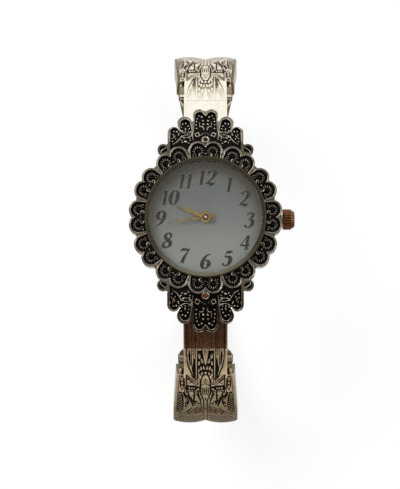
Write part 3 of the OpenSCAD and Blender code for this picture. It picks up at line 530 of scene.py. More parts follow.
# Stainless steel back, brushed along X: fine dull lines a quarter of a millimetre apart.
BRUSHED_BACK = Finish("stainless_brushed", "#b9b9b7", "#9c9c9a", 1.0, 0.3, 0.25, 0.006, (0.3, 4.0, 1.0))
# Small steel parts, turned and polished: bright with a slight haze.
POLISHED_STEEL = Finish("steel_polished", "#a9a8a5", "#8a8987", 1.0, 0.22, 0.3, 0.002)
# Drawn spring steel, blued: dark blue-grey with a half gloss.
SPRING_STEEL = Finish("spring_steel_blued", "#5d5f66", "#44464c", 1.0, 0.3, 0.2, 0.002)
# Brass plates of the movement, blasted and gilt: matt gold with a fine tooth.
GILT_PLATE = Finish("gilt_brass_plate", "#c9a75e", "#b08f49", 1.0, 0.34, 0.2, 0.004)
# Brass wheels, cut and polished: bright yellow.
POLISHED_BRASS = Finish("polished_brass", "#d2ad5c", "#b8934a", 1.0, 0.22, 0.2, 0.002)
# Crystal gasket, moulded white nylon: waxy off-white.
WHITE_NYLON = Finish("white_nylon", "#dedcd2", "#cfccc0", 0.0, 0.45, 0.6, 0.004)
# Movement holder, moulded white acetal: smooth, a little glossier than the nylon.
WHITE_ACETAL = Finish("white_acetal", "#dcdbd5", "#d0cfc8", 0.0, 0.4, 0.9, 0.004)
# Gaskets, moulded black nitrile rubber: matt, with a fine tooth.
BLACK_NITRILE = Finish("black_nitrile", "#171615", "#232221", 0.0, 0.6, 0.2, 0.006)
# Circuit board, glass-epoxy under a sprayed green solder mask: wet-looking green.
SOLDER_MASK = Finish("green_solder_mask", "#12482a", "#1b5a36", 0.0, 0.28, 0.5, 0.004, coat=0.4)
# Stator and coil core, rolled and annealed soft magnetic alloy: dull grey with a faint run along X.
SOFT_IRON = Finish("soft_magnetic_alloy", "#8f8e89", "#7b7a76", 1.0, 0.4, 0.2, 0.004, (0.5, 3.0, 1.0))
# Coil of enamelled copper wire: reddish brown bands. The real wire is about 0.02 mm thick and is
# drawn as 0.16 mm, so that its turns show.
ENAMELLED_COPPER = WoundWire("enamelled_copper", "#8a4a20", "#c47a3c", 0.7, 0.25, 0.4, 0.004)
# Battery, pressed steel can plated with nickel: smooth and bright.
NICKEL_CAN = Finish("nickel_plated_can", "#c4c3bf", "#a9a8a4", 1.0, 0.2, 0.6, 0.004)
# Rotor, ground sintered magnet: dark, with a rough grain.
SINTERED_MAGNET = Finish("sintered_magnet", "#3a3a3d", "#4c4c50", 0.6, 0.5, 0.15, 0.008)

# The CAD nodes of each finish.
NODE_FINISHES: dict[Finish, str] = {
    CASE_SILVER: "case_body", ANTIQUE_SILVER: "ornamental_frame", SATIN_OLIVE: "bezel_ring",
    CRYSTAL_GLASS: "crystal", WHITE_NYLON: "crystal_gasket", PEARL_DIAL: "dial", BRUSHED_BACK: "case_back",
    BLACK_NITRILE: "back_gasket crown_gasket", WHITE_ACETAL: "movement_holder",
    POLISHED_STEEL: "case_tube bridge_screws stem setting_lever bar_screws upper_hinge_pin lower_hinge_pin",
    GILT_PLATE: "main_plate train_bridge battery_clamp", SOLDER_MASK: "circuit_board",
    SOFT_IRON: "stator coil_core", ENAMELLED_COPPER: "coil_winding", NICKEL_CAN: "battery",
    POLISHED_BRASS: "third_wheel centre_wheel cannon_pinion minute_wheel hour_wheel", SINTERED_MAGNET: "rotor",
    HAND_GILT: "hour_hand minute_hand", CAP_BROWN: "hand_cap", ROSE_GOLD: "crown",
    PLAIN_CHAMPAGNE: "upper_bar lower_bar upper_arm lower_arm",
    SPRING_STEEL: "upper_hinge_spring lower_hinge_spring",
}


# ---------------------------------------------------------------- geometry node tools


class GeometryTool:
    """A geometry node tree that is run once on a piece and turned into a plain mesh."""

    def __init__(self, name: str, size: str) -> None:
        """Starts the tree with a geometry input, a material input and one named size input.

        Args:
            name: Name of the tree.
            size: Name of the size input, in metres.
        """
        self.size = size
        self.tree = bpy.data.node_groups.new(name, "GeometryNodeTree")
        face = self.tree.interface
        face.new_socket("Geometry", in_out="INPUT", socket_type="NodeSocketGeometry")
        face.new_socket(size, in_out="INPUT", socket_type="NodeSocketFloat").default_value = 0.1 * MM
        face.new_socket("Material", in_out="INPUT", socket_type="NodeSocketMaterial")
        face.new_socket("Geometry", in_out="OUTPUT", socket_type="NodeSocketGeometry")
        self.entry = self.tree.nodes.new("NodeGroupInput").outputs

    def close(self, geometry: Socket) -> "GeometryTool":
        """Ends the tree: instances are made real, shaded smooth and given their material.

        Args:
            geometry: Output that carries the shape.

        Returns:
            The tool itself.
        """
        real = add_node(self.tree, "GeometryNodeRealizeInstances", {0: geometry}).outputs[0]
        smooth = add_node(self.tree, "GeometryNodeSetShadeSmooth", {0: real}).outputs[0]
        painted = add_node(self.tree, "GeometryNodeSetMaterial",
                           {"Geometry": smooth, "Material": self.entry["Material"]}).outputs[0]
        add_node(self.tree, "NodeGroupOutput", {"Geometry": painted})
        return self

    def lay(self, name: str, data: bpy.types.ID, size: float, finish: Finish, body: str = "case",
            slot: str = "dark_silver") -> None:
        """Runs the tree on points or curves and dresses the plain mesh that it makes.

        Args:
            name: Name of the new piece.
            data: Mesh or curve that carries the points or the paths.
            size: Value of the size input in millimetres.
            finish: Finish of the piece.
            body: Body that it rides on.
            slot: Not used.
        """
        source = new_object(name + "_source", data)
        modifier = source.modifiers.new("tool", "NODES")
        modifier.node_group = self.tree
        values = {self.size: size * MM, "Material": finish.material()}
        for item in self.tree.interface.items_tree:
            if item.in_out == "INPUT" and item.name in values:
                modifier[item.identifier] = values[item.name]
        made = bpy.data.meshes.new_from_object(source.evaluated_get(bpy.context.evaluated_depsgraph_get()))
        source.modifiers.remove(modifier)
        bpy.data.objects.remove(source)
        made.name = name
        dress(new_object(name, made), finish, body)


def bead_tool() -> GeometryTool:
    """Makes the tree that puts a small oval bead on each point, turned and sized by the point's attributes.

    Returns:
        The tool, whose size is the radius of a bead before it is sized.
    """
    tool = GeometryTool("beads_on_points", "Bead Radius")
    tree, entry = tool.tree, tool.entry
    bead = add_node(tree, "GeometryNodeMeshUVSphere", {"Segments": 10, "Rings": 6, "Radius": entry["Bead Radius"]})
    turn, size = (add_node(tree, "GeometryNodeInputNamedAttribute", {"Name": label}, data_type="FLOAT_VECTOR")
                  for label in ("turn", "size"))
    placed = add_node(tree, "GeometryNodeInstanceOnPoints", {
        "Points": entry["Geometry"], "Instance": bead.outputs[0], "Scale": size.outputs[0],
        "Rotation": add_node(tree, "FunctionNodeEulerToRotation", {0: turn.outputs[0]}).outputs[0],
    })
    return tool.close(placed.outputs[0])


def wire_tool() -> GeometryTool:
    """Makes the tree that sweeps a round wire along curves.

    Returns:
        The tool, whose size is the radius of the wire.
    """
    tool = GeometryTool("wire_on_curve", "Wire Radius")
    profile = add_node(tool.tree, "GeometryNodeCurvePrimitiveCircle",
                       {"Resolution": 8, "Radius": tool.entry["Wire Radius"]})
    swept = add_node(tool.tree, "GeometryNodeCurveToMesh", {
        "Curve": tool.entry["Geometry"], "Profile Curve": profile.outputs[0], "Fill Caps": True,
    })
    return tool.close(swept.outputs[0])


BEADS = bead_tool()
WIRE = wire_tool()


@dataclass
class Beads:
    """A list of oval beads: the place, turn and size of each."""

    rows: list[tuple[Place, Place, Place]] = field(default_factory=list)

    def add(self, place: Place, size: Place, heading: float = 0.0, lean: float = 0.0) -> None:
        """Adds one bead.

        Args:
            place: Centre in millimetres.
            size: Half sizes in millimetres along, across and up.
            heading: Direction of its length in the XY plane, in degrees.
            lean: Slope of the surface it lies on along Y, as an angle in degrees.
        """
        turn = Euler((0, 0, math.radians(heading))).to_matrix()
        tilt = Euler((math.radians(lean), 0, 0)).to_matrix()
        self.rows.append((place, tuple((tilt @ turn).to_euler()), size))

    def lay(self, name: str, finish: Finish, **ride: str) -> None:
        """Turns the list into one dressed piece.

        Args:
            name: Name of the piece.
            finish: Finish of the piece.
            ride: Its body and slot, where they aren't the frame's; the slot is not used.
        """
        places, turns, sizes = (np.array(column, dtype=float) for column in zip(*self.rows))
        mesh = bpy.data.meshes.new(name + "_source")
        mesh.from_pydata((places * MM).tolist(), [], [])
        for label, values in (("turn", turns), ("size", sizes)):
            mesh.attributes.new(label, "FLOAT_VECTOR", "POINT").data.foreach_set("vector", values.ravel())
        BEADS.lay(name, mesh, 1.0, finish, **ride)


def lay_wires(name: str, paths: list[list[Place]], radius: float, finish: Finish, loops: int = 0) -> None:
    """Sweeps a round wire along several paths and dresses it.

    Args:
        name: Name of the piece.
        paths: Points of each path in millimetres.
        radius: Radius of the wire in millimetres.
        finish: Finish of the wire.
        loops: How many of the paths are closed, counted from the last.
    """
    curve = bpy.data.curves.new(name + "_source", "CURVE")
    curve.dimensions = "3D"
    for i, path in enumerate(paths):
        spline = curve.splines.new("POLY")
        spline.points.add(len(path) - 1)
        spline.points.foreach_set("co", np.hstack([np.array(path) * MM, np.ones((len(path), 1))]).ravel())
        spline.use_cyclic_u = i >= len(paths) - loops
    WIRE.lay(name, curve, radius, finish)


# ---------------------------------------------------------------- ornamental frame


@dataclass
class OrnamentalFrame:
    """Rims, rosettes, beads and curls on the scalloped frame and its two fans."""

    top: float = 5.0
    ring_r: float = 10.95
    lobe_r: float = 1.6
    lobe_turn: float = 6.35
    cell_r: float = 1.3
    foot_turn: float = 14.35
    units: int = 12
    recess: float = 0.5
    fan_reach: float = 18.55
    slope_start: float = 12.4
    slope: float = 3.4 / 6.15
    bezel_r: float = 9.9
    wire_r: float = 0.065
    wire_sunk: float = 0.02
    rim_gap: float = 0.06
    curl_r: float = 0.1
    petals: int = 11
    rosette_r: float = 10.9
    petal_r: float = 0.72
    petal_turn: float = 140.0
    petal_size: Place = (0.27, 0.095, 0.14)
    heart_r: float = 0.17
    crescent_r: float = 10.28
    crescent_turn: float = 4.3
    hook_r: float = 0.27
    seed_r: float = 10.3
    seed_turn: float = 11.2
    seed_size: Place = (0.2, 0.1, 0.14)
    middle_seed_r: float = 10.5
    middle_seed_size: Place = (0.13, 0.17, 0.14)
    bead_rise: float = 0.12
    bead_half: float = 0.14
    ring_in: float = 5.75
    web_x: tuple[float, ...] = (0.0, 1.2, 2.6, 4.4, 6.0, 6.1, 7.5)
    web_in: tuple[float, ...] = (1.75, 1.75, 2.55, 4.25, 4.95, 6.35, 7.65)

    def surface(self, y: float, under: float = 0.0) -> float:
        """Returns the height of the frame's top at a distance along Y, less a depth."""
        return self.top - max(0.0, abs(y) - self.slope_start) * self.slope - under

    def lean(self, y: float) -> float:
        """Returns the slope angle of the top at a distance along Y, in degrees."""
        return 0.0 if abs(y) < self.slope_start else -math.copysign(math.degrees(math.atan(self.slope)), y)

    def quarters(self, path: list[Point], under: float) -> list[list[Place]]:
        """Returns a path of the right upper quarter laid on the sloping top in all four quarters."""
        return [[(sx * x, sy * y, self.surface(y, under)) for x, y in path] for sx in (-1, 1) for sy in (-1, 1)]

    def slot_outline(self, p: Point, rp: float, q: Point, rq: float, step: float = 9.0) -> list[Point]:
        """Works out the outline of two circles joined by their outer tangents.

        Args:
            p: Centre of the first circle.
            rp: Its radius.
            q: Centre of the second circle.
            rq: Its radius.
            step: Degrees between points.

        Returns:
            The points of the outline.
        """
        along = math.degrees(math.atan2(q[1] - p[1], q[0] - p[0]))
        lean = math.degrees(math.acos((rp - rq) / math.dist(p, q)))
        outline = []
        for centre, radius, start, sweep in ((p, rp, along + lean, 360 - 2 * lean), (q, rq, along - lean, 2 * lean)):
            count = max(3, int(sweep / step))
            outline += [polar(radius, start + sweep * i / count, centre) for i in range(count + 1)]
        return outline

    def lobe_path(self, middle: float, side: int, radius: float, foot: float | None) -> list[Point]:
        """Works out one lobe's curve from its flank to the unit's middle.

        Args:
            middle: Direction of the unit's middle in degrees.
            side: Side of the middle, 1 or -1.
            radius: Radius of the curve round the lobe's centre.
            foot: Turn from the middle at which the curve runs down to the bezel, or None.

        Returns:
            The points of the curve.
        """
        at = middle + side * self.lobe_turn
        centre = polar(self.ring_r, at)
        points = [] if foot is None else [polar(self.bezel_r, middle + side * foot)]
        for i in range(37):
            x, y = polar(radius, at + side * (96 - 5 * i), centre)
            turn = (math.degrees(math.atan2(y, x)) - middle + 180) % 360 - 180
            if side * turn > 0:
                points.append((x, y))
        return points

    def leaves(self) -> list[tuple[Point, float, Point, float]]:
        """Places the fans' leaves on the right of twelve o'clock.

        Returns:
            For each leaf its outer centre and radius, and its inner centre and radius.
        """
        reach = self.fan_reach
        return [((1.02, reach - 1.05), 1.05, (0.72, reach - 3.85), 0.75),
                ((3.45, reach - 2.6), 1.2, (2.75, reach - 4.45), 0.85),
                ((5.22, reach - 4.35), 1.0, (5.3, reach - 6.25), 0.9)]

    def cells(self) -> list[tuple[Point, float, Point, float, float]]:
        """Places the black cells of the leaves.

        Returns:
            For each cell a tapered slot, as two centres with their radii, and how low its rim runs.
        """
        reach = self.fan_reach
        return [((0.95, reach - 1.3), 0.8, (1.0, reach - 4.3), 0.92, 14.35),
                ((3.35, reach - 2.7), 0.8, (3.2, reach - 4.35), 0.98, 13.1),
                ((5.05, reach - 4.25), 0.75, (5.1, reach - 6.2), 0.72, 12.3)]

    def leaf_runs(self) -> list[list[Point]]:
        """Finds the runs of the leaves' outlines that no lobe and no neighbouring leaf covers.

        Returns:
            The points of each run.
        """
        leaves = self.leaves()
        lobes = [polar(self.ring_r, 30 * u + s * self.lobe_turn) for u in range(4) for s in (-1, 1)]
        runs = []
        for k, (p, rp, q, rq) in enumerate(leaves):
            shown: list[Point | None] = []
            for x, y in self.slot_outline(p, rp - self.wire_r, q, rq - self.wire_r):
                web = float(np.interp(x, self.web_x, self.web_in))
                covered = (x < 0.0 or self.fan_reach - y > web + 0.05 or math.dist((x, y), (0.0, 17.6)) < 0.6
                           or any(math.dist((x, y), c) < self.lobe_r for c in lobes))
                for j, (p1, r1, q1, r2) in enumerate(leaves):
                    axis = Vector(q1) - Vector(p1)
                    t = max(0.0, min(1.0, (Vector((x, y)) - Vector(p1)).dot(axis) / axis.length_squared))
                    near = math.dist((x, y), (p1[0] + axis.x * t, p1[1] + axis.y * t))
                    covered |= j != k and near < r1 + (r2 - r1) * t - self.wire_r
                shown.append(None if covered else (x, y))
            runs += self.split(shown)
        return runs

    def split(self, shown: list[Point | None]) -> list[list[Point]]:
        """Cuts a closed list of points at its gaps.

        Args:
            shown: Points, with None where the line is hidden.

        Returns:
            Runs of three points or more.
        """
        start = next((i for i, v in enumerate(shown) if v is None), 0)
        runs: list[list[Point]] = []
        run: list[Point] = []
        for v in shown[start:] + shown[:start] + [None]:
            if v is not None:
                run.append(v)
            elif run:
                runs += [run] if len(run) > 2 else []
                run = []
        return runs

    def cell_edge_shows(self, cell: int, x: float, y: float) -> bool:
        """Says whether a cell's edge has a rim there, and doesn't run into the next cell or the root field."""
        return (x > 0.55, not (x > 3.9 and y < 15.2), x > 4.9 or y > 14.2)[cell]

    def build_rims(self) -> None:
        """Lays a darker wire along the outer edge of every rim, as painted shade on the rims' shaded outer side, and
        a bright one beside its cell.
        """
        outer, inner = [], []
        for unit in range(self.units):
            for side in (-1, 1):
                for group, radius, foot in ((outer, self.lobe_r - self.wire_r, None),
                                            (inner, self.cell_r + self.rim_gap, self.foot_turn)):
                    path = self.lobe_path(360 / self.units * unit, side, radius, foot)
                    group.append([(x, y, self.top - self.wire_sunk) for x, y in path])
        for run in self.leaf_runs():
            outer += self.quarters(run, self.wire_sunk)
        for k, (p, rp, q, rq, low) in enumerate(self.cells()):
            edge = self.slot_outline(p, rp + self.rim_gap, q, rq + self.rim_gap)
            for run in self.split([(x, y) if y > low and self.cell_edge_shows(k, x, y) else None for x, y in edge]):
                inner += self.quarters(run, self.wire_sunk)
        for line in (
            [(0.0, 17.32), (0.2, 17.55), (0.5, 17.98)],
            [(2.28, 14.4), (2.6, 14.15), (3.0, 14.0), (3.5, 14.05), (4.1, 14.35)],
            [(2.1, 14.2), (2.12, 13.5), (2.02, 12.75)],
            [(2.55, 13.72), (3.3, 13.66), (3.95, 13.4), (4.3, 12.85), (4.75, 12.3), (5.35, 11.98)],
            [(2.1, 13.95), (2.45, 14.1)],
        ):
            inner += self.quarters(line, 2 * self.wire_sunk)
        # The outer lines are darker as painted shade.
        lay_wires("frame_outer_lines", outer, self.wire_r, DULL_SILVER_AND_SHADE)
        lay_wires("frame_rim_lines", inner, self.wire_r, RUBBED_SILVER)

    def build_rosettes(self) -> None:
        """Fills each lobe with dull petals round a small bead."""
        beads = Beads()
        floor = self.top - self.recess
        for unit in range(self.units):
            for side in (-1, 1):
                at = 360 / self.units * unit + side * self.lobe_turn
                centre = polar(self.rosette_r, at)
                for i in range(self.petals):
                    heading = at + self.petal_turn * (2 * i / (self.petals - 1) - 1)
                    beads.add((*polar(self.petal_r, heading, centre), floor + 0.1), self.petal_size, heading)
                beads.add((*centre, floor + self.bead_rise), (self.heart_r,) * 3)
        beads.lay("frame_rosettes", DULL_SILVER_AND_SHADE)

    def build_crescents(self) -> None:
        """Sets two small hooks and a few seeds beside the bezel in each unit."""
        paths = []
        beads = Beads()
        for unit in range(self.units):
            middle = 360 / self.units * unit
            for side in (-1, 1):
                at = middle + side * self.crescent_turn
                centre = polar(self.crescent_r, at)
                paths.append([(*polar(self.hook_r, at + side * (200 - 34 * i), centre), self.top - 0.14)
                              for i in range(7)])
                at = middle + side * self.seed_turn
                beads.add((*polar(self.seed_r, at), self.top - 0.4), self.seed_size, at + side * 40)
            beads.add((*polar(self.middle_seed_r, middle), self.top - 0.42), self.middle_seed_size, middle)
        lay_wires("frame_crescents", paths, self.curl_r, RUBBED_SILVER)
        beads.lay("frame_seeds", RUBBED_SILVER)

    def build_fan_beads(self) -> None:
        """Sets the bead rows in the leaves and the petals at the fans' roots."""
        rows = [(x, y, r, r, 0.0) for x, y, r in (
            (1.1, 17.35, 0.16), (1.4, 16.78, 0.16), (1.53, 16.25, 0.17), (1.56, 15.65, 0.17), (1.5, 14.95, 0.16),
            (0.62, 17.15, 0.2), (0.42, 16.42, 0.19), (0.36, 15.75, 0.2),
            (3.8, 15.78, 0.18), (3.25, 15.92, 0.19), (2.86, 15.4, 0.17), (2.66, 14.9, 0.16), (4.0, 15.18, 0.16),
            (3.85, 14.5, 0.17), (5.2, 14.4, 0.16), (4.7, 14.36, 0.19), (4.44, 13.72, 0.15), (5.5, 13.05, 0.13),
            (5.42, 12.5, 0.15), (2.35, 13.45, 0.13), (4.35, 13.95, 0.15), (3.9, 13.5, 0.15), (2.5, 12.75, 0.14),
            (4.2, 12.95, 0.13), (3.75, 12.35, 0.15), (3.3, 14.35, 0.14), (2.75, 14.35, 0.13), (5.75, 13.9, 0.13),
        )]
        rows += [(0.98, 15.85, 0.5, 0.07, 90.0), (3.3, 14.85, 0.3, 0.13, 80.0), (5.1, 13.4, 0.4, 0.11, 120.0),
                 (3.25, 12.5, 0.3, 0.2, 20.0), (2.62, 13.2, 0.3, 0.14, 75.0), (3.5, 13.15, 0.22, 0.12, 130.0),
                 (2.75, 12.2, 0.22, 0.1, 150.0), (2.3, 14.15, 0.2, 0.14, 60.0), (2.2, 13.78, 0.28, 0.2, 100.0),
                 (4.95, 13.0, 0.3, 0.08, 70.0), (5.3, 13.75, 0.3, 0.08, 80.0), (4.0, 12.75, 0.25, 0.1, 40.0)]
        rows += [(0.78 * x, 13.45 + 0.62 * y, 0.26, 0.055, turn)
                 for turn in range(18, 163, 24) for x, y in [polar(1.0, turn)]]
        beads = Beads()
        for x, y, along, across, heading in rows:
            for sx in (-1, 1):
                for sy in (-1, 1):
                    beads.add((sx * x, sy * y, self.surface(y, self.recess - self.bead_rise)),
                              (along, across, self.bead_half), sx * sy * heading, self.lean(sy * y))
        beads.lay("fan_beads", RUBBED_SILVER)

    def build_curls(self) -> None:
        """Makes the curls in the leaves, the hooks beside the fans, the root rings and the square frames."""
        hook = [(6.1, 11.5), (6.72, 11.38), (7.18, 11.05), (7.38, 10.66), (7.1, 10.48), (6.7, 10.55), (6.3, 10.75)]
        curl = [(0.98, 15.25), (0.82, 15.32), (0.55, 15.3), (0.34, 15.12), (0.27, 14.82), (0.4, 14.66)]
        paths = self.quarters(hook, self.recess - 0.16) + self.quarters(curl, self.recess - 0.16)
        square = [polar(0.31 * math.sqrt(2), 45 + 90 * i - 28, (1.33, 13.72)) for i in range(4)]
        paths += self.quarters(square, 0.06)
        for sy in (-1, 1):
            ring = [(0.53 * math.cos(a), sy * (self.fan_reach - self.ring_in + 0.03 + 0.45 * math.sin(a)))
                    for a in np.linspace(0, 2 * math.pi, 29)[:-1]]
            paths.append([(x, y, self.surface(y, -0.02)) for x, y in ring])
        lay_wires("fan_curls", paths, self.curl_r, RUBBED_SILVER, loops=6)
        # The lower ring's amber is a painted reflection.
        for name, sy, finish in (("upper_ring_enamel", 1, BLACK_ENAMEL), ("lower_ring_enamel", -1, AMBER_REFLECTION_ENAMEL)):
            y = sy * (self.fan_reach - self.ring_in)
            drop = Beads()
            drop.add((0.0, y, self.surface(y, 0.12)), (0.42, 0.36, 0.12), 0.0, self.lean(y))
            drop.lay(name, finish)

    def build(self) -> None:
        """Builds all of the frame's ornaments."""
        self.build_rims()
        self.build_rosettes()
        self.build_crescents()
        self.build_fan_beads()
        self.build_curls()


# ---------------------------------------------------------------- carved cuff


class Side(Enum):
    """The two halves of the cuff."""

    UPPER = 1
    LOWER = -1

    @property
    def label(self) -> str:
        """Name used in piece names."""
        return self.name.lower()


@dataclass
class Carving:
    """Height field that is painted with strokes and ovals. 1 is the rubbed top and 0 the patinated ground."""

    x: np.ndarray
    s: np.ndarray
    height: np.ndarray
    edge: float = 0.045
    bold: float = 1.45

    def blend(self, distance: np.ndarray, value: float) -> None:
        """Moves the height towards a value where the distance is negative."""
        t = np.clip(0.5 - distance / (2 * self.edge), 0, 1)
        self.height += (value - self.height) * t * t * (3 - 2 * t)

    def stroke(self, value: float, points: list[Place]) -> None:
        """Paints a line with a width that changes from point to point.

        Args:
            value: Height of the line.
            points: Across, along and half width, in millimetres.
        """
        best = np.full(self.x.shape, np.inf)
        swell = self.bold if value < 0.5 else 1.0
        for (x0, s0, w0), (x1, s1, w1) in zip(points, points[1:]):
            dx, ds = x1 - x0, s1 - s0
            t = np.clip(((self.x - x0) * dx + (self.s - s0) * ds) / (dx * dx + ds * ds), 0, 1)
            near = np.hypot(self.x - x0 - dx * t, self.s - s0 - ds * t) - (w0 + (w1 - w0) * t) * swell
            best = np.minimum(best, near)
        self.blend(best, value)

    def oval(self, value: float, x: float, s: float, rx: float, rs: float, turn: float = 0.0) -> None:
        """Paints an oval.

        Args:
            value: Height of the oval.
            x: Centre across.
            s: Centre along.
            rx: Half width.
            rs: Half length.
            turn: Turn in degrees.
        """
        a = math.radians(turn)
        u = (self.x - x) * math.cos(a) + (self.s - s) * math.sin(a)
        v = (self.s - s) * math.cos(a) - (self.x - x) * math.sin(a)
        self.blend((np.hypot(u / rx, v / rs) - 1) * min(rx, rs), value)

    def paint(self, marks: list[tuple]) -> None:
        """Paints marks in their order: strokes as value and points, ovals as value, centre, sizes and turn."""
        for value, *shape in marks:
            (self.stroke if len(shape) == 1 else self.oval)(value, *shape)


# Marks of the carving, for the half with positive x. A stroke is a height, then points of across, along and
# half width. An oval is a height, its middle across and along, its half width, half length and turn.
REEDS: list[tuple] = [
    (0, [(3.15, -7, .06), (3.15, 0.5, .06), (3.08, 2.2, .07), (2.85, 3.4, .08), (2.4, 4.7, .08), (1.95, 5.9, .06)]),
    (0, [(2.36, -7, .03), (2.36, 0.6, .04), (2.32, 2.6, .05), (2.2, 4.4, .04)]),
    (0, [(1.7, -7, .04), (1.7, 3, .06), (1.68, 6.5, .06)]),
    (0, [(1.33, 0.2, .05), (1.33, 3, .06), (1.38, 6.6, .05)]),
    (0, [(2.66, 0.25, .05), (2.7, 1.1, .13), (2.62, 2.4, .1), (2.55, 3.1, .03)]),
    (0, [(1.95, 1.7, .05), (1.94, 3.2, .12), (1.98, 4.6, .12), (1.86, 5.8, .04)]),
    (0, [(0.95, 0.7, .3), (0.85, 4.4, .4)]),
    (0, [(0.3, 3.3, .28), (0.45, 4.9, .4)]),
    (0, [(0.62, -0.1, .05), (0.4, 1.6, .06), (0.1, 3.5, .05)]),
    (1, [(0.0, -0.5, .5), (0, 1.2, .3), (0, 2.6, .12), (0, 3.4, .02)]),
    (0, [(1.25, 0.35, .05), (0.7, 0.35, .05)]),
    (0, [(0.95, -7, .035), (0.98, -0.2, .035)]),
    (0, [(0.5, -7, .03), (0.55, -0.2, .03)]),
    (0, [(2.85, -7, .025), (2.85, -0.1, .03)]),
    (0, [(2.05, -7, .03), (2.05, 0.9, .03)]),
]
LATTICE: list[tuple] = [
    (1, 1.02, 1.45, .19, .5, 6), (1, 0.6, 2.4, .15, .48, 12), (1, 1.08, 2.85, .16, .42, -6),
    (1, 0.28, 3.8, .15, .38, 14), (1, 0.74, 3.9, .16, .42, 6), (1, 1.12, 4.35, .14, .4, 0),
    (1, 0.6, 5.0, .17, .38, -16), (1, 1.1, 5.6, .12, .4, 0), (1, 0.0, 4.85, .2, .26, 0), (1, 0.0, 5.62, .25, .26, 0),
]
BODY: list[tuple] = [
    (0, [(0.5, 5.6, .07), (0.82, 6.5, .1), (0.86, 8.4, .09), (0.82, 10.2, .08), (0.52, 11.0, .07)]),
    (1, [(0, 6.35, .3), (0, 7.35, .58)]),
    (0, [(0, 6.85, .08), (0, 6.95, .08)]),
    (0, [(0, 7.25, .04), (0.32, 7.3, .04)]),
    (0, [(0, 7.75, .07), (0.66, 7.85, .06)]),
    (0, [(0, 8.7, .04), (0.66, 8.65, .04)]),
    (0, [(0.18, 8.95, .06), (0.18, 9.9, .07)]),
    (0, [(0.5, 8.95, .06), (0.48, 10.0, .06)]),
    (0, [(0, 10.35, .09), (0.55, 10.25, .07)]),
    (0, [(0.5, 11.3, .06), (0.3, 12.4, .07), (0.3, 16, .06), (0.36, 25.2, .06)]),
    (0, [(0.0, 11.6, .05), (0.12, 12.3, .03)]),
    (0, [(3.2, 5.25, .07), (1.65, 7.0, .06)]),
    (0, [(3.15, 5.95, .06), (1.9, 7.3, .05)]),
    (0, [(3.2, 5.3, .07), (3.2, 9.4, .07)]),
    (0, [(3.1, 7.65, .07), (1.7, 7.8, .06)]),
    (0, [(2.95, 8.3, .36), (1.75, 8.4, .34)]),
    (0, [(3.1, 9.05, .06), (1.75, 9.1, .05)]),
    (0, [(1.62, 7.4, .06), (0.98, 7.65, .06)]),
    (0, [(1.6, 8.0, .08), (1.2, 8.3, .12), (0.98, 8.9, .06)]),
    (0, [(1.65, 9.4, .07), (0.95, 9.0, .06)]),
    (0, [(1.95, 9, .08), (1.88, 10.4, .1), (2.02, 11.8, .12), (1.75, 13.2, .06)]),
    (0, [(1.55, 9.7, .06), (1.25, 10.4, .12), (1.05, 11.4, .08), (0.8, 12.2, .05)]),
    (0, [(1.7, 12.1, .16), (1.3, 12.9, .12), (0.75, 13.4, .04)]),
    (0, [(3.75, 9.5, .1), (3.3, 10.5, .2), (3.1, 12.2, .24), (3.35, 13.8, .14)]),
    (0, [(2.95, 9.3, .07), (2.8, 10.6, .13), (2.4, 12.0, .15), (2.1, 13.5, .1)]),
    (0, [(2.1, 10.2, .04), (2.45, 10.7, .05), (2.3, 11.6, .04)]),
    (0, [(3.0, 5.9, .04), (2.2, 6.9, .05), (2.95, 7.1, .04)]),
    (0, [(2.5, 5.2, .03), (1.9, 6.2, .04), (1.5, 6.0, .03)]),
    (0, [(1.05, 6.2, .03), (1.3, 5.2, .04), (1.25, 4.2, .03)]),
    (0, [(0.0, 6.1, .04), (0.3, 6.6, .04)]),
    (0, [(0.95, 9.3, .07), (1.25, 9.9, .07), (1.0, 10.9, .05)]),
    (0, [(0.62, 11.1, .05), (0.9, 12.0, .07), (0.7, 13.6, .05), (0.85, 15.6, .05), (0.6, 17.2, .04)]),
    (0, [(3.5, 6.0, .03), (3.52, 9.2, .04)]),
    (0, [(1.3, 6.9, .05), (1.3, 9.6, .05)]),
    (1, [(2.35, 9.55, .16), (2.55, 10.2, .1), (2.3, 10.9, .04)]),
    (1, [(3.05, 10.95, .07), (3.45, 11.0, .07)]),
    (1, [(3.05, 11.6, .05), (3.4, 11.65, .05)]),
    (1, [(2.75, 12.7, .12), (2.6, 13.2, .1)]),
    (1, [(3.3, 13.0, .12), (3.1, 13.7, .08)]),
    (1, [(1.45, 12.45, .1), (1.5, 12.75, .1)]),
    (0.3, [(1.1, 13.6, .05), (1.9, 14.8, .1), (1.5, 16.2, .08), (2.2, 17.4, .05)]),
    (0.3, [(0.5, 14.2, .05), (1.2, 15.2, .08), (0.6, 16.6, .06)]),
    (0.2, [(2.35, 14.2, .08), (3.1, 15.8, .12), (2.6, 17.3, .08)]),
    (0, [(4.85, 17.9, .07), (2.5, 14.6, .07)]),
    (0, [(4.7, 18.9, .07), (2.35, 15.6, .06)]),
    (0, [(5.25, 5.8, .03), (5.35, 12, .03), (5.3, 19, .04), (4.85, 25.2, .04)]),
    (0, [(3.6, 9.3, .06), (3.45, 9.9, .09), (3.75, 10.6, .04)]),
    (0, [(4.2, 5.0, .05), (4.2, 0.5, .13), (4.05, -5, .12), (3.75, -9.5, .04)]),
]
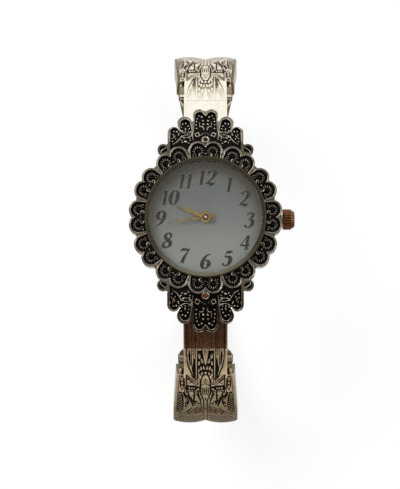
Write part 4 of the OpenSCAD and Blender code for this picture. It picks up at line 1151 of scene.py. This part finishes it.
WINGS: list[tuple] = [
    (0, 3.97, 7.1, .4, 1.75, 0), (1, 3.99, 6.2, .21, .44, 0), (1, 3.95, 7.15, .18, .32, 0),
    (1, 3.97, 8.1, .21, .44, 0),
    (0, 3.99, 6.2, .07, .17, 0), (0, 3.97, 8.1, .07, .17, 0), (1, 3.3, 11.7, .2, .42, 0), (0, 3.3, 11.7, .07, .16, 0),
    (0, 4.4, 13.0, .68, 3.7, -2), (1, 2.72, 8.3, .16, .26, 0), (1, 2.3, 8.35, .14, .26, 0),
    (1, 1.93, 8.4, .12, .24, 0),
    (1, 1.2, 7.75, .2, .2, 0), (1, 1.25, 8.75, .22, .18, 0), (0, 1.25, 8.25, .3, .12, 0),
]


@dataclass
class CarvedCuff:
    """Carved skins of one half of the cuff: the bar's reeds, the arm's strip and its two-lobed wing."""

    side: Side
    half_len: float = 33.0
    half_height: float = 27.0
    end_r: float = 24.0
    top_z: float = 3.0
    joint_y: float = 20.95
    strip_w: float = 7.3
    arm_w: float = 11.4
    neck_w: float = 9.6
    groove: float = 0.45
    wing_s: float = 5.19
    strip_end_s: float = 6.15
    tip_y: float = 11.0
    tip_r: float = 2.2
    tip_half: float = 1.1
    tail_w: float = 6.6
    flow_r: float = 20.0
    ear_half: float = 4.45
    depth: float = 0.16
    shallow: float = 0.05
    lift: float = 0.012
    skirt: float = 0.35
    round_in: float = 0.3
    round_drop: float = 0.12
    border: float = 0.34
    border_soft: float = 0.08
    border_end: float = 0.46
    line_in: float = 0.44
    line_half: float = 0.06
    plain_border: float = 0.4
    fold_s: float = 25.2
    dull_s: float = 11.0
    dull_run: float = 4.0
    neck_s: float = 1.45
    neck_sunk: float = 0.49
    neck_relief: float = 0.1
    channel_x: float = 3.82
    channel_s: float = 2.9
    channel_half: float = 0.2
    notch_s: float = 2.75
    notch_half: float = 0.12
    step: float = 0.085

    def __post_init__(self) -> None:
        """Works out the arcs of the cuff's outline."""
        self.cuff_z = self.top_z - self.half_height
        self.end_y = self.half_len - self.end_r
        rise = self.half_height - self.end_r
        self.shift = (self.end_y ** 2 - rise ** 2) / (2 * rise)
        self.flat_r = self.half_height + self.shift
        self.start = math.asin(self.joint_y / self.flat_r)
        self.turn = math.atan2(self.end_y, self.shift)
        self.flat_len = self.flat_r * (self.turn - self.start)
        self.end_len = self.end_r * (math.pi - 2 * self.turn)
        self.length = self.flat_len + self.end_len + self.flat_r * (self.turn - math.asin(self.tip_y / self.flat_r))

    def outline(self, s: np.ndarray) -> tuple[np.ndarray, np.ndarray, np.ndarray, np.ndarray]:
        """Follows the cuff's outer face.

        Args:
            s: Distances from the joint.

        Returns:
            Y and Z of the face, and Y and Z of its outward direction.
        """
        past = s - self.flat_len
        first, last = past < 0, past > self.end_len
        a = np.where(first, self.start + s / self.flat_r, self.turn + past / self.end_r)
        a = np.where(last, math.pi - self.turn + (past - self.end_len) / self.flat_r, a)
        radius = np.where(first | last, self.flat_r, self.end_r)
        cy = np.where(first | last, 0.0, self.end_y)
        cz = self.cuff_z + self.shift * (last.astype(float) - first)
        return cy + radius * np.sin(a), cz + radius * np.cos(a), np.sin(a), np.cos(a)

    def half_width(self, s: np.ndarray) -> np.ndarray:
        """Works out half the arm's width: wide at the wrist's side, narrow below, and rounded at the tip.

        Args:
            s: Distances from the joint.

        Returns:
            Half widths.
        """
        y, z, _, _ = self.outline(s)
        drop = self.cuff_z - z
        widest, tail = self.arm_w / 2, self.tail_w / 2
        wing_z = self.outline(np.array([self.wing_s]))[1][0]
        side_r = (((self.arm_w - self.neck_w) / 2) ** 2 + (wing_z - self.cuff_z) ** 2) / (self.arm_w - self.neck_w)
        width = widest - side_r + np.sqrt(side_r ** 2 - drop ** 2)
        taper_r = ((0.75 * self.end_r) ** 2 + (widest - tail) ** 2) / (2 * (widest - tail))
        reach = math.sqrt((taper_r + self.flow_r) ** 2 - (self.flow_r + tail + taper_r - widest) ** 2)
        turns = reach * taper_r / (taper_r + self.flow_r)
        tapered = widest - taper_r + np.sqrt(taper_r ** 2 - np.clip(drop, 0, turns) ** 2)
        width = np.where(drop > 0, tapered, width)
        left = np.clip(reach - drop, 0, self.flow_r)
        width = np.where(drop > turns, tail + self.flow_r - np.sqrt(self.flow_r ** 2 - left ** 2), width)
        into = np.clip(self.tip_y + self.tip_r - y, 0, self.tip_r)
        corner = self.tip_half + np.sqrt(self.tip_r ** 2 - into ** 2)
        return np.where((s > self.length / 2) & (into > 0), np.minimum(width, corner), width)

    def base_depth(self, x: np.ndarray, s: np.ndarray) -> np.ndarray:
        """Works out how far the arm's face lies under the oval: flat on the strip, then two convex lobes.

        Args:
            x: Places across.
            s: Places along, from the joint.

        Returns:
            Depths.
        """
        lobe_x = self.arm_w / 4 + 0.05
        bulge_r = (lobe_x ** 2 + self.groove ** 2) / (2 * self.groove)
        lobes = bulge_r - np.sqrt(bulge_r ** 2 - (np.abs(x) - lobe_x) ** 2)
        t = np.clip((s - self.strip_end_s) / 1.6, 0, 1)
        inner = np.abs(x) < self.strip_w / 2
        return np.where(inner, lobes * t * t * (3 - 2 * t), np.where(s < self.wing_s, 0.0, lobes))

    def motif(self, x: np.ndarray, s: np.ndarray) -> np.ndarray:
        """Carves the motif, which runs out from the joint and back from the wrist's side.

        Args:
            x: Places across.
            s: Places along, from the joint.

        Returns:
            Heights from 0 to 1.
        """
        art = Carving(np.abs(x), np.where(s > self.fold_s, 2 * self.fold_s - s, s), np.ones_like(x))
        art.paint(REEDS + LATTICE + BODY + WINGS)
        for k in range(9):
            for dx in (-0.36, 0.0, 0.36):
                at = 4.4 + dx * (1 - abs(k - 4) / 8)
                art.oval(1, at, 9.9 + 0.75 * k + (0.0 if dx else 0.37), 0.11, 0.2, 24 if k % 2 else -24)
        for r in np.arange(5) * 0.3 + 0.35:
            art.stroke(0.25, [(1.25 + r * math.sin(t), 17.0 - 1.7 * r * math.cos(t), 0.05)
                              for t in np.linspace(-1.1, 1.2, 9)])
        for t in np.arange(7) * 0.33 - 1.0:
            art.stroke(0.25, [(1.25 + 0.4 * math.sin(t), 17.0 - 0.7 * math.cos(t), .03),
                              (1.25 + 1.5 * math.sin(t), 17.0 - 2.5 * math.cos(t), .04)])
        for row in range(8):
            for column in range(6):
                cx, cs = 0.85 + 0.8 * column + 0.4 * (row % 2), 18.3 + 0.95 * row
                if cx < 5.0 and cs < self.fold_s + 0.3 and cs - 17.5 > (cx - 3.4) * 1.2:
                    art.oval(0.15, cx, cs, 0.31, 0.42)
                    art.oval(0.9, cx, cs, 0.17, 0.24)
        return art.height

    def carve(self, x: np.ndarray, s: np.ndarray, edge: np.ndarray) -> np.ndarray:
        """Carves the motif and its border, duller down the arm, with the upper side's carving faded out as painted
        light and its wing border in a mid tone as painted shade.

        Args:
            x: Places across.
            s: Places along, from the joint.
            edge: Distance from the skin's edge.

        Returns:
            Heights from 0 to 1.
        """
        height = self.motif(x, s)
        border = np.clip((edge - self.border) / self.border_soft, 0, 1)
        height = np.where(edge < self.border_end, np.maximum(height * border, 1 - border), height)
        line = np.clip(np.abs(edge - self.line_in) / self.line_half, 0, 1)
        height = np.where(s > self.wing_s, np.minimum(height, line), height)
        dull = np.clip((s - self.dull_s) / self.dull_run, 0, 1)
        height = height * (1 - dull) + (0.36 + 0.3 * height) * dull
        # Painted light on the upper side: its carving fades out towards the case, and its wing's side border gets a
        # mid tone as painted shade.
        if self.side is Side.UPPER:
            height = 1 - (1 - height) * np.interp(s, [-7, 0, 1.5, 3, 4.5, 6], [0.04, 0.08, 0.25, 0.45, 0.6, 0.72])
            height = np.where((s > self.wing_s) & (edge < self.plain_border), 0.5, height)
        return height

    def sheet(self, x: np.ndarray, s: np.ndarray, offset: np.ndarray) -> np.ndarray:
        """Returns the points of a sheet that stands off the cuff's outer face."""
        y, z, ny, nz = self.outline(s)
        return np.stack([x, self.side.value * (y + ny * offset), z + nz * offset], axis=-1).reshape(-1, 3)

    def quads(self, shape: tuple[int, int], mirrored: bool = False) -> np.ndarray:
        """Works out the faces of a sheet, with their normals outwards.

        Args:
            shape: Rows and columns of its points.
            mirrored: Whether the sheet is a mirror image across X.

        Returns:
            Faces as rows of four indices.
        """
        index = np.arange(shape[0] * shape[1]).reshape(shape)
        faces = np.stack([index[:-1, :-1], index[:-1, 1:], index[1:, 1:], index[1:, :-1]], axis=-1).reshape(-1, 4)
        return faces if mirrored is (self.side is Side.LOWER) else faces[:, ::-1]

    def finish(self, piece: Piece, height: np.ndarray, finish: Finish, body: str) -> None:
        """Gives a sheet its relief attribute and its finish."""
        piece.data.attributes.new("relief", "FLOAT", "POINT").data.foreach_set("value", height.ravel())
        dress(piece, finish, body)

    def skin(self, part: str, s0: float, s1: float, half: float | None, body: str, finish: Finish) -> None:
        """Makes one carved skin, with a skirt all round that runs down into the CAD node.

        Args:
            part: Name of the piece, without its side.
            s0: Start along the arm, from the joint.
            s1: End along the arm.
            half: Half width, or None where the skin follows the arm's own width.
            body: Body that it rides on.
            finish: Finish of the skin.
        """
        line = np.linspace(s0, s1, int((s1 - s0) / self.step) + 1)
        width = self.half_width(line) if half is None else np.full(len(line), half)
        share = np.linspace(-1, 1, int(2 * width.max() / self.step) + 1)
        x = width[:, None] * share[None, :]
        s = np.repeat(line[:, None], len(share), axis=1)
        edge = width[:, None] - np.abs(x)
        if half is None:
            edge = np.minimum(edge, self.length - s)
        height = self.carve(x, s, edge)
        rounding = self.round_drop * np.clip(1 - edge / self.round_in, 0, 1) ** 2
        deep = self.shallow + (self.depth - self.shallow) * np.clip((s - 0.2) / 1.5, 0, 1)
        offset = self.lift + self.depth - deep * (1 - height) - rounding - self.base_depth(x, s)
        x, s, height, offset = (np.pad(a, 1, mode="edge") for a in (x, s, height, offset))
        for cut in (np.s_[0, :], np.s_[-1, :], np.s_[:, 0], np.s_[:, -1]):
            offset[cut] -= self.skirt
        walls = np.ones((x.shape[0] - 1, x.shape[1] - 1), dtype=bool)
        walls[1:-1, 1:-1] = False
        piece = mesh_piece(f"{self.side.label}_{part}", self.sheet(x, s, offset), self.quads(x.shape),
                           flat=walls.ravel())
        self.finish(piece, height, finish, body)

    def neck(self, body: str) -> None:
        """Makes the two low strips between ear and wing: a sunk channel, blackened as painted shade of the gap beside
        the strip, with a bright outer rail.

        Args:
            body: Body that they ride on.
        """
        x, s = np.meshgrid(np.linspace(self.strip_w / 2 - 0.1, self.ear_half - 0.04, 24),
                           np.linspace(self.neck_s, self.wing_s + 0.25, 60))
        # The channel is blackened as painted shade of the gap beside the strip.
        channel = np.clip(1 - np.abs(x - self.channel_x) / self.channel_half, 0, 1)
        channel = np.clip(3 * channel * np.clip((s - self.channel_s) / 0.3, 0, 1), 0, 1)
        notch = np.clip(1 - np.abs(s - self.notch_s) / self.notch_half, 0, 1)
        height = (1 - channel) * (1 - 0.5 * notch)
        rounding = 0.08 * np.clip(1 - (self.ear_half - x) / 0.25, 0, 1) ** 2
        offset = self.neck_relief * height - self.neck_sunk - rounding
        points = np.vstack([self.sheet(x, s, offset), self.sheet(-x, s, offset)])
        faces = np.vstack([self.quads(x.shape), self.quads(x.shape, mirrored=True) + x.size])
        piece = mesh_piece(f"{self.side.label}_neck_rails", points, faces)
        self.finish(piece, np.tile(height.ravel(), 2), CARVED_CHAMPAGNE, body)

    def build(self) -> None:
        """Builds the skins of this half."""
        arm = f"{self.side.label}_arm"
        upper = self.side is Side.UPPER
        half = self.strip_w / 2
        # Painted light on the upper bar and strip; a painted brown reflection on the lower bar's reeds.
        self.skin("bar_reeds", -6.1, -0.003, half, "case", PAINTED_LIGHT_CHAMPAGNE if upper else PAINTED_BROWN_REFLECTION_CHAMPAGNE)
        self.skin("strip_carving", 0.003, self.wing_s, half, arm, PAINTED_LIGHT_CHAMPAGNE if upper else CARVED_CHAMPAGNE)
        self.skin("wing_carving", self.wing_s, self.length, None, arm, CARVED_CHAMPAGNE)
        self.neck(arm)


@dataclass
class HingeSpring:
    """Coil spring that twists between its leg in the bar and its leg in the arm."""

    side: Side
    leg_x: float = 0.55
    wire_r: float = 0.11

    def build(self) -> None:
        """Makes the spring as a blued-steel copy of its CAD node, and hides the node."""
        arm, name = f"{self.side.label}_arm", f"{self.side.label}_hinge_spring"
        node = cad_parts[name]
        points = np.array([tuple(node.matrix_world @ v.co) for v in node.data.vertices]) / MM
        piece = mesh_piece(f"{self.side.label}_twisting_spring", points,
                           [tuple(p.vertices) for p in node.data.polygons], smooth=False)
        piece.data.materials.append(SPRING_STEEL.material())
        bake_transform(piece)
        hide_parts(name)
        LOG.info("%s twists between case and %s", piece.name, arm)


# ---------------------------------------------------------------- dial


# Pen strokes of the digits, in a box one unit high: across, up and half width.
NINE = [(0.42, 0.62, .02), (0.36, 0.48, .03), (0.22, 0.44, .03), (0.08, 0.58, .06), (0.07, 0.78, .065),
        (0.2, 0.97, .03), (0.38, 0.93, .045), (0.46, 0.7, .065), (0.42, 0.4, .055), (0.26, 0.12, .035),
        (0.04, 0.02, .015)]
DIGITS: dict[int, list[list[Place]]] = {
    0: [[(0.27, 0.99, .02), (0.1, 0.8, .05), (0.05, 0.48, .065), (0.1, 0.16, .05), (0.24, 0.01, .02),
         (0.4, 0.16, .05), (0.46, 0.5, .065), (0.42, 0.82, .05), (0.27, 0.99, .02)]],
    1: [[(0.2, 0.02, .05), (0.2, 0.96, .055)], [(0.02, 0.84, .012), (0.12, 0.9, .025), (0.2, 0.97, .03)],
        [(0.08, 0.015, .015), (0.34, 0.015, .015)]],
    2: [[(0.07, 0.76, .055), (0.12, 0.91, .035), (0.27, 0.98, .03), (0.43, 0.9, .055), (0.46, 0.72, .065),
         (0.36, 0.48, .045), (0.18, 0.24, .03), (0.02, 0.05, .025)],
        [(0.02, 0.05, .025), (0.16, 0.1, .04), (0.36, 0.04, .06), (0.5, 0.1, .03), (0.54, 0.22, .012)]],
    3: [[(0.08, 0.84, .045), (0.17, 0.95, .03), (0.3, 0.98, .03), (0.42, 0.88, .055), (0.4, 0.72, .05),
         (0.28, 0.58, .025), (0.18, 0.55, .015)],
        [(0.18, 0.55, .015), (0.36, 0.52, .045), (0.47, 0.36, .065), (0.42, 0.14, .055), (0.26, 0.01, .028),
         (0.1, 0.04, .03), (0.04, 0.16, .05)]],
    4: [[(0.38, 0.02, .05), (0.38, 0.96, .055)], [(0.38, 0.97, .02), (0.18, 0.62, .02), (0.0, 0.3, .025)],
        [(0.0, 0.29, .03), (0.56, 0.29, .03)], [(0.24, 0.015, .015), (0.52, 0.015, .015)]],
    5: [[(0.14, 0.93, .04), (0.36, 0.92, .05), (0.52, 0.99, .02)], [(0.15, 0.93, .018), (0.1, 0.56, .018)],
        [(0.1, 0.56, .02), (0.24, 0.62, .035), (0.4, 0.54, .06), (0.45, 0.33, .065), (0.37, 0.11, .05),
         (0.22, 0.01, .026), (0.09, 0.05, .03), (0.03, 0.16, .05)]],
    6: [[(0.51 - x, 1.0 - y, w) for x, y, w in NINE]],
    7: [[(0.03, 0.78, .015), (0.06, 0.91, .035), (0.24, 0.94, .05), (0.42, 0.91, .035), (0.53, 0.99, .02)],
        [(0.53, 0.97, .02), (0.36, 0.62, .035), (0.24, 0.3, .055), (0.2, 0.02, .06)]],
    8: [[(0.27, 0.99, .028), (0.12, 0.9, .045), (0.11, 0.72, .055), (0.26, 0.55, .055), (0.42, 0.38, .06),
         (0.46, 0.18, .05), (0.26, 0.01, .028), (0.06, 0.14, .05), (0.08, 0.34, .035), (0.24, 0.5, .025),
         (0.4, 0.66, .03), (0.43, 0.86, .04), (0.27, 0.99, .028)]],
    9: [NINE],
}


@dataclass
class DialPrint:
    """Italic numerals printed on the dial, each over a thin olive-gold edge that is a painted highlight."""

    face_z: float = 3.885
    ink: float = 0.035
    sunk: float = 0.02
    height: float = 2.42
    fine: float = 1.5
    bold: float = 10.0
    wide: float = 1.13
    slant: float = 0.17
    step: int = 10
    digit_w: float = 0.5
    pitch: float = 0.58
    eleven_pitch: float = 0.5
    one_shift: float = 0.04
    gilt_grow: float = 0.012
    gilt_rise: float = 0.021
    gilt_shift: Point = (-0.035, 0.02)
    places: dict[int, Point] = field(default_factory=lambda: {
        12: (0.1, 6.65), 1: (3.9, 5.5), 2: (6.25, 3.2), 3: (7.05, -0.4), 4: (6.35, -4.05), 5: (3.45, -6.67),
        6: (-0.02, -7.15), 7: (-3.57, -6.28), 8: (-6.3, -3.74), 9: (-7.4, -0.13), 10: (-5.92, 3.33),
        11: (-3.27, 6.05),
    })

    def smooth(self, points: list[Place]) -> np.ndarray:
        """Draws a smooth path through a stroke's points.

        Args:
            points: Across, up and half width of each point.

        Returns:
            The same for many points along the path.
        """
        p = np.array(points) * (self.wide, 1.0, 1.0)
        if len(p) == 2:
            return np.linspace(p[0], p[1], 4)
        closed = np.allclose(p[0], p[-1])
        ring = np.vstack([p[-2] if closed else 2 * p[0] - p[1], p, p[1] if closed else 2 * p[-1] - p[-2]])
        out = [0.5 * (2 * b + (c - a) * t + (2 * a - 5 * b + 4 * c - d) * t ** 2 + (3 * b - a - 3 * c + d) * t ** 3)
               for a, b, c, d in zip(ring, ring[1:], ring[2:], ring[3:])
               for t in np.linspace(0, 1, self.step, endpoint=False)]
        return np.array(out + [p[-1]])

    def ribbon(self, path: np.ndarray, offset: Point, grow: float, z: float) -> tuple[list, list]:
        """Makes one flat stroke with square ends, as a low box.

        Args:
            path: Across, up and half width along the stroke, in units of the height.
            offset: Place of the digit's lower left corner.
            grow: Extra half width.
            z: Height of the top face.

        Returns:
            Points in millimetres, and faces.
        """
        step = np.gradient(path[:, :2], axis=0)
        side = np.stack([-step[:, 1], step[:, 0]], axis=-1)
        side /= np.linalg.norm(side, axis=-1, keepdims=True)
        pen = np.abs(path[:, 2:3])
        half = pen * (self.fine + self.bold * pen) * self.height + grow
        edges = np.vstack([path[:, :2] * self.height + sign * side * half for sign in (1, -1)])
        points = [(x + self.slant * y + offset[0], y + offset[1], level)
                  for level in (self.face_z - self.sunk, z) for x, y in edges]
        n = len(path)
        faces = [(b, b + 1, a + 1, a) for i in range(n - 1)
                 for a, b in ((2 * n + i, 3 * n + i), (i, 2 * n + i), (3 * n + i, n + i))]
        return points, faces + [(n, 3 * n, 2 * n, 0), (3 * n - 1, 4 * n - 1, 2 * n - 1, n - 1)]

    def corners(self, number: int) -> list[tuple[int, Point]]:
        """Spaces out the digits of a numeral.

        Args:
            number: The hour.

        Returns:
            Each digit with the place of its lower left corner.
        """
        cx, cy = self.places[number]
        digits = [int(d) for d in str(number)]
        pitch = self.eleven_pitch if number == 11 else self.pitch
        start = -(self.digit_w + (len(digits) - 1) * pitch + self.slant) / 2
        return [(d, (cx + (start + k * pitch + self.one_shift * (d == 1)) * self.height, cy - self.height / 2))
                for k, d in enumerate(digits)]

    def layer(self, name: str, finish: Finish, grow: float, rise: float, shift: Point) -> None:
        """Prints all numerals in one layer.

        Args:
            name: Name of the piece.
            finish: Finish of the layer.
            grow: Extra half width of the strokes.
            rise: Height over the dial.
            shift: Shift of the layer.
        """
        points: list[Place] = []
        faces: list[list[int]] = []
        for number in self.places:
            for digit, (x, y) in self.corners(number):
                for stroke in DIGITS[digit]:
                    more, rows = self.ribbon(self.smooth(stroke), (x + shift[0], y + shift[1]), grow,
                                             self.face_z + rise)
                    faces += [[len(points) + i for i in row] for row in rows]
                    points += more
        dress(mesh_piece(name, np.array(points), faces, smooth=False), finish, "case")

    def build(self) -> None:
        """Prints the numerals over their painted-highlight edges, and sets the painted highlight on the hand cap."""
        # The olive-gold layer under the ink is a painted highlight.
        self.layer("numeral_highlight_layer", NUMERAL_HIGHLIGHT, self.gilt_grow, self.gilt_rise, self.gilt_shift)
        self.layer("numerals", NUMERAL_INK, 0.0, self.ink, (0.0, 0.0))
        # A pale bead on the cap stands as its painted highlight.
        dot = Beads()
        dot.add((0.0, 0.0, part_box("hand_cap")[1][2] / MM - 0.02), (0.16, 0.16, 0.06))
        dot.lay("hand_cap_highlight", CAP_HIGHLIGHT, body="minute_hand", slot="hand_gold")


# ---------------------------------------------------------------- studio


@dataclass
class Studio:
    """Camera at the photograph's angle, white floor and world, soft lamps and dark cards for the metal."""

    lens_px: float = 1485.0
    image_px: tuple[int, int] = (400, 489)
    sensor_mm: float = 36.0
    distance: float = 270.0
    tilt: float = 7.1
    aim: Place = (0.0, 0.0, -24.0)
    aim_px: Point = (5.5, 5.5)
    floor_z: float = -49.5
    floor_half: float = 900.0
    floor_grey: float = 0.34
    floor_glow: float = 0.74
    plain_level: float = 0.45

    def camera(self) -> None:
        """Sets the camera: its lens and shift come from the photograph's frame."""
        data = bpy.data.cameras.new("camera")
        data.sensor_width = self.sensor_mm
        data.lens = self.lens_px / max(self.image_px) * self.sensor_mm
        data.shift_x, data.shift_y = (-px / max(self.image_px) for px in self.aim_px)
        data.clip_start = 0.01
        view = new_object("camera", data)
        a = math.radians(self.tilt)
        view.location = (Vector(self.aim) + Vector((0, -math.sin(a), math.cos(a))) * self.distance) * MM
        view.rotation_euler = (a, 0, 0)
        bpy.context.scene.camera = view

    def seen(self, tree: Tree) -> Socket:
        """Finds the camera, glossy and transmitted rays that come from no matt surface.

        Args:
            tree: Tree that gets the nodes.

        Returns:
            1 for these rays and 0 for others.
        """
        path = add_node(tree, "ShaderNodeLightPath").outputs
        rays = add_node(tree, "ShaderNodeMath", {0: path["Is Camera Ray"], 1: path["Is Glossy Ray"]},
                        operation="ADD").outputs[0]
        rays = add_node(tree, "ShaderNodeMath", {0: rays, 1: path["Is Transmission Ray"]}, operation="ADD",
                        use_clamp=True).outputs[0]
        first = add_node(tree, "ShaderNodeMath", {0: path["Diffuse Depth"], 1: 0.5}, operation="LESS_THAN").outputs[0]
        return add_node(tree, "ShaderNodeMath", {0: rays, 1: first}, operation="MULTIPLY").outputs[0]

    def world(self) -> None:
        """Sets a white world that shows to the camera and in the metal, and lights at a plain level."""
        world = bpy.data.worlds.new("studio")
        world.use_nodes = True
        tree = world.node_tree
        tree.nodes.clear()
        strength = add_node(tree, "ShaderNodeMapRange",
                            {"Value": self.seen(tree), "To Min": self.plain_level}).outputs[0]
        back = add_node(tree, "ShaderNodeBackground", {"Color": linear("#ffffff"), "Strength": strength})
        add_node(tree, "ShaderNodeOutputWorld", {"Surface": back.outputs[0]})
        bpy.context.scene.world = world

    def sheet(self, name: str, corners: list[Place], made: bpy.types.Material, unseen: tuple[str, ...] = ()) -> None:
        """Sets up a flat sheet of the studio.

        Args:
            name: Name of the sheet.
            corners: Its four corners in millimetres.
            made: Its material.
            unseen: Kinds of rays that miss it.
        """
        piece = mesh_piece(name, np.array(corners), [(0, 1, 2, 3)], smooth=False)
        piece.data.materials.append(made)
        for ray in unseen:
            setattr(piece, f"visible_{ray}", False)

    def floor(self) -> None:
        """Lays a white floor that keeps a soft shadow."""
        made, tree = new_material("studio_floor_white")
        strength = add_node(tree, "ShaderNodeMath", {0: self.seen(tree), 1: self.floor_glow},
                            operation="MULTIPLY").outputs[0]
        matt = add_node(tree, "ShaderNodeBsdfDiffuse", {"Color": (*(self.floor_grey,) * 3, 1)})
        glow = add_node(tree, "ShaderNodeEmission", {"Color": linear("#ffffff"), "Strength": strength})
        both = add_node(tree, "ShaderNodeAddShader", {0: matt.outputs[0], 1: glow.outputs[0]})
        add_node(tree, "ShaderNodeOutputMaterial", {"Surface": both.outputs[0]})
        half = self.floor_half
        self.sheet("studio_floor", [(x * half, y * half, self.floor_z)
                                    for x, y in ((-1, -1), (1, -1), (1, 1), (-1, 1))], made)

    def card(self, name: str, place: Place, size: Point, colour: str, lying: bool = False) -> None:
        """Stands or lays a card that only the metal sees.

        Args:
            name: Name of the card.
            place: Its middle in millimetres.
            size: Width and height in millimetres.
            colour: Colour of the card.
            lying: Whether it lies flat. Otherwise it faces the watch.
        """
        away = Vector((0, 0, 1)) if lying else Vector(place).normalized()
        right = Vector((1, 0, 0)) if lying else away.cross(Vector((0, 0, 1))).normalized()
        up = right.cross(away)
        made, tree = new_material(name)
        glow = add_node(tree, "ShaderNodeEmission", {"Color": linear(colour), "Strength": 1.0})
        add_node(tree, "ShaderNodeOutputMaterial", {"Surface": glow.outputs[0]})
        self.sheet(name, [tuple(Vector(place) + right * x * size[0] / 2 + up * y * size[1] / 2)
                          for x, y in ((-1, -1), (1, -1), (1, 1), (-1, 1))], made,
                   ("camera", "diffuse", "transmission", "shadow", "volume_scatter"))

    def lamp(self, name: str, place: Place, size: float, power: float) -> None:
        """Hangs a large soft lamp that faces the watch.

        Args:
            name: Name of the lamp.
            place: Its place in millimetres.
            size: Its side in millimetres.
            power: Its power in watts.
        """
        data = bpy.data.lights.new(name, "AREA")
        data.size, data.energy = size * MM, power
        lamp = new_object(name, data)
        lamp.location = Vector(place) * MM
        lamp.rotation_euler = (-Vector(place)).to_track_quat("-Z", "Y").to_euler()

    def build(self) -> None:
        """Builds the studio."""
        self.camera()
        self.world()
        self.floor()
        self.lamp("key_lamp", (-260.0, 200.0, 420.0), 300.0, 1.25)
        self.lamp("fill_lamp", (300.0, -120.0, 330.0), 360.0, 0.6)
        self.card("brown_card", (0.0, -233.0, 182.0), (1200.0, 190.0), "#321a08")
        self.card("grey_card", (0.0, 50.0, 400.0), (420.0, 380.0), "#8c877c")
        self.card("tan_card", (0.0, -300.0, 20.0), (900.0, 190.0), "#cfc2b0")
        self.card("floor_card", (0.0, -280.0, -48.5), (900.0, 500.0), "#a1978a", lying=True)
        bpy.context.scene.view_settings.view_transform = "Standard"


# ---------------------------------------------------------------- assembly


def finish_nodes() -> None:
    """Gives every carried-over CAD node its finish."""
    for finish, names in NODE_FINISHES.items():
        for name in names.split():
            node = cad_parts[name]
            node.data.materials.clear()
            node.data.materials.append(finish.material())
            LOG.info("%s is finished in %s", name, finish.name)


def main() -> None:
    """Builds the watch's looks and the studio."""
    logging.basicConfig(level=logging.INFO, format="%(name)s: %(message)s")
    Studio().build()
    finish_nodes()
    OrnamentalFrame().build()
    DialPrint().build()
    for side in Side:
        CarvedCuff(side).build()
        HingeSpring(side).build()


if __name__ == "__main__":
    main()
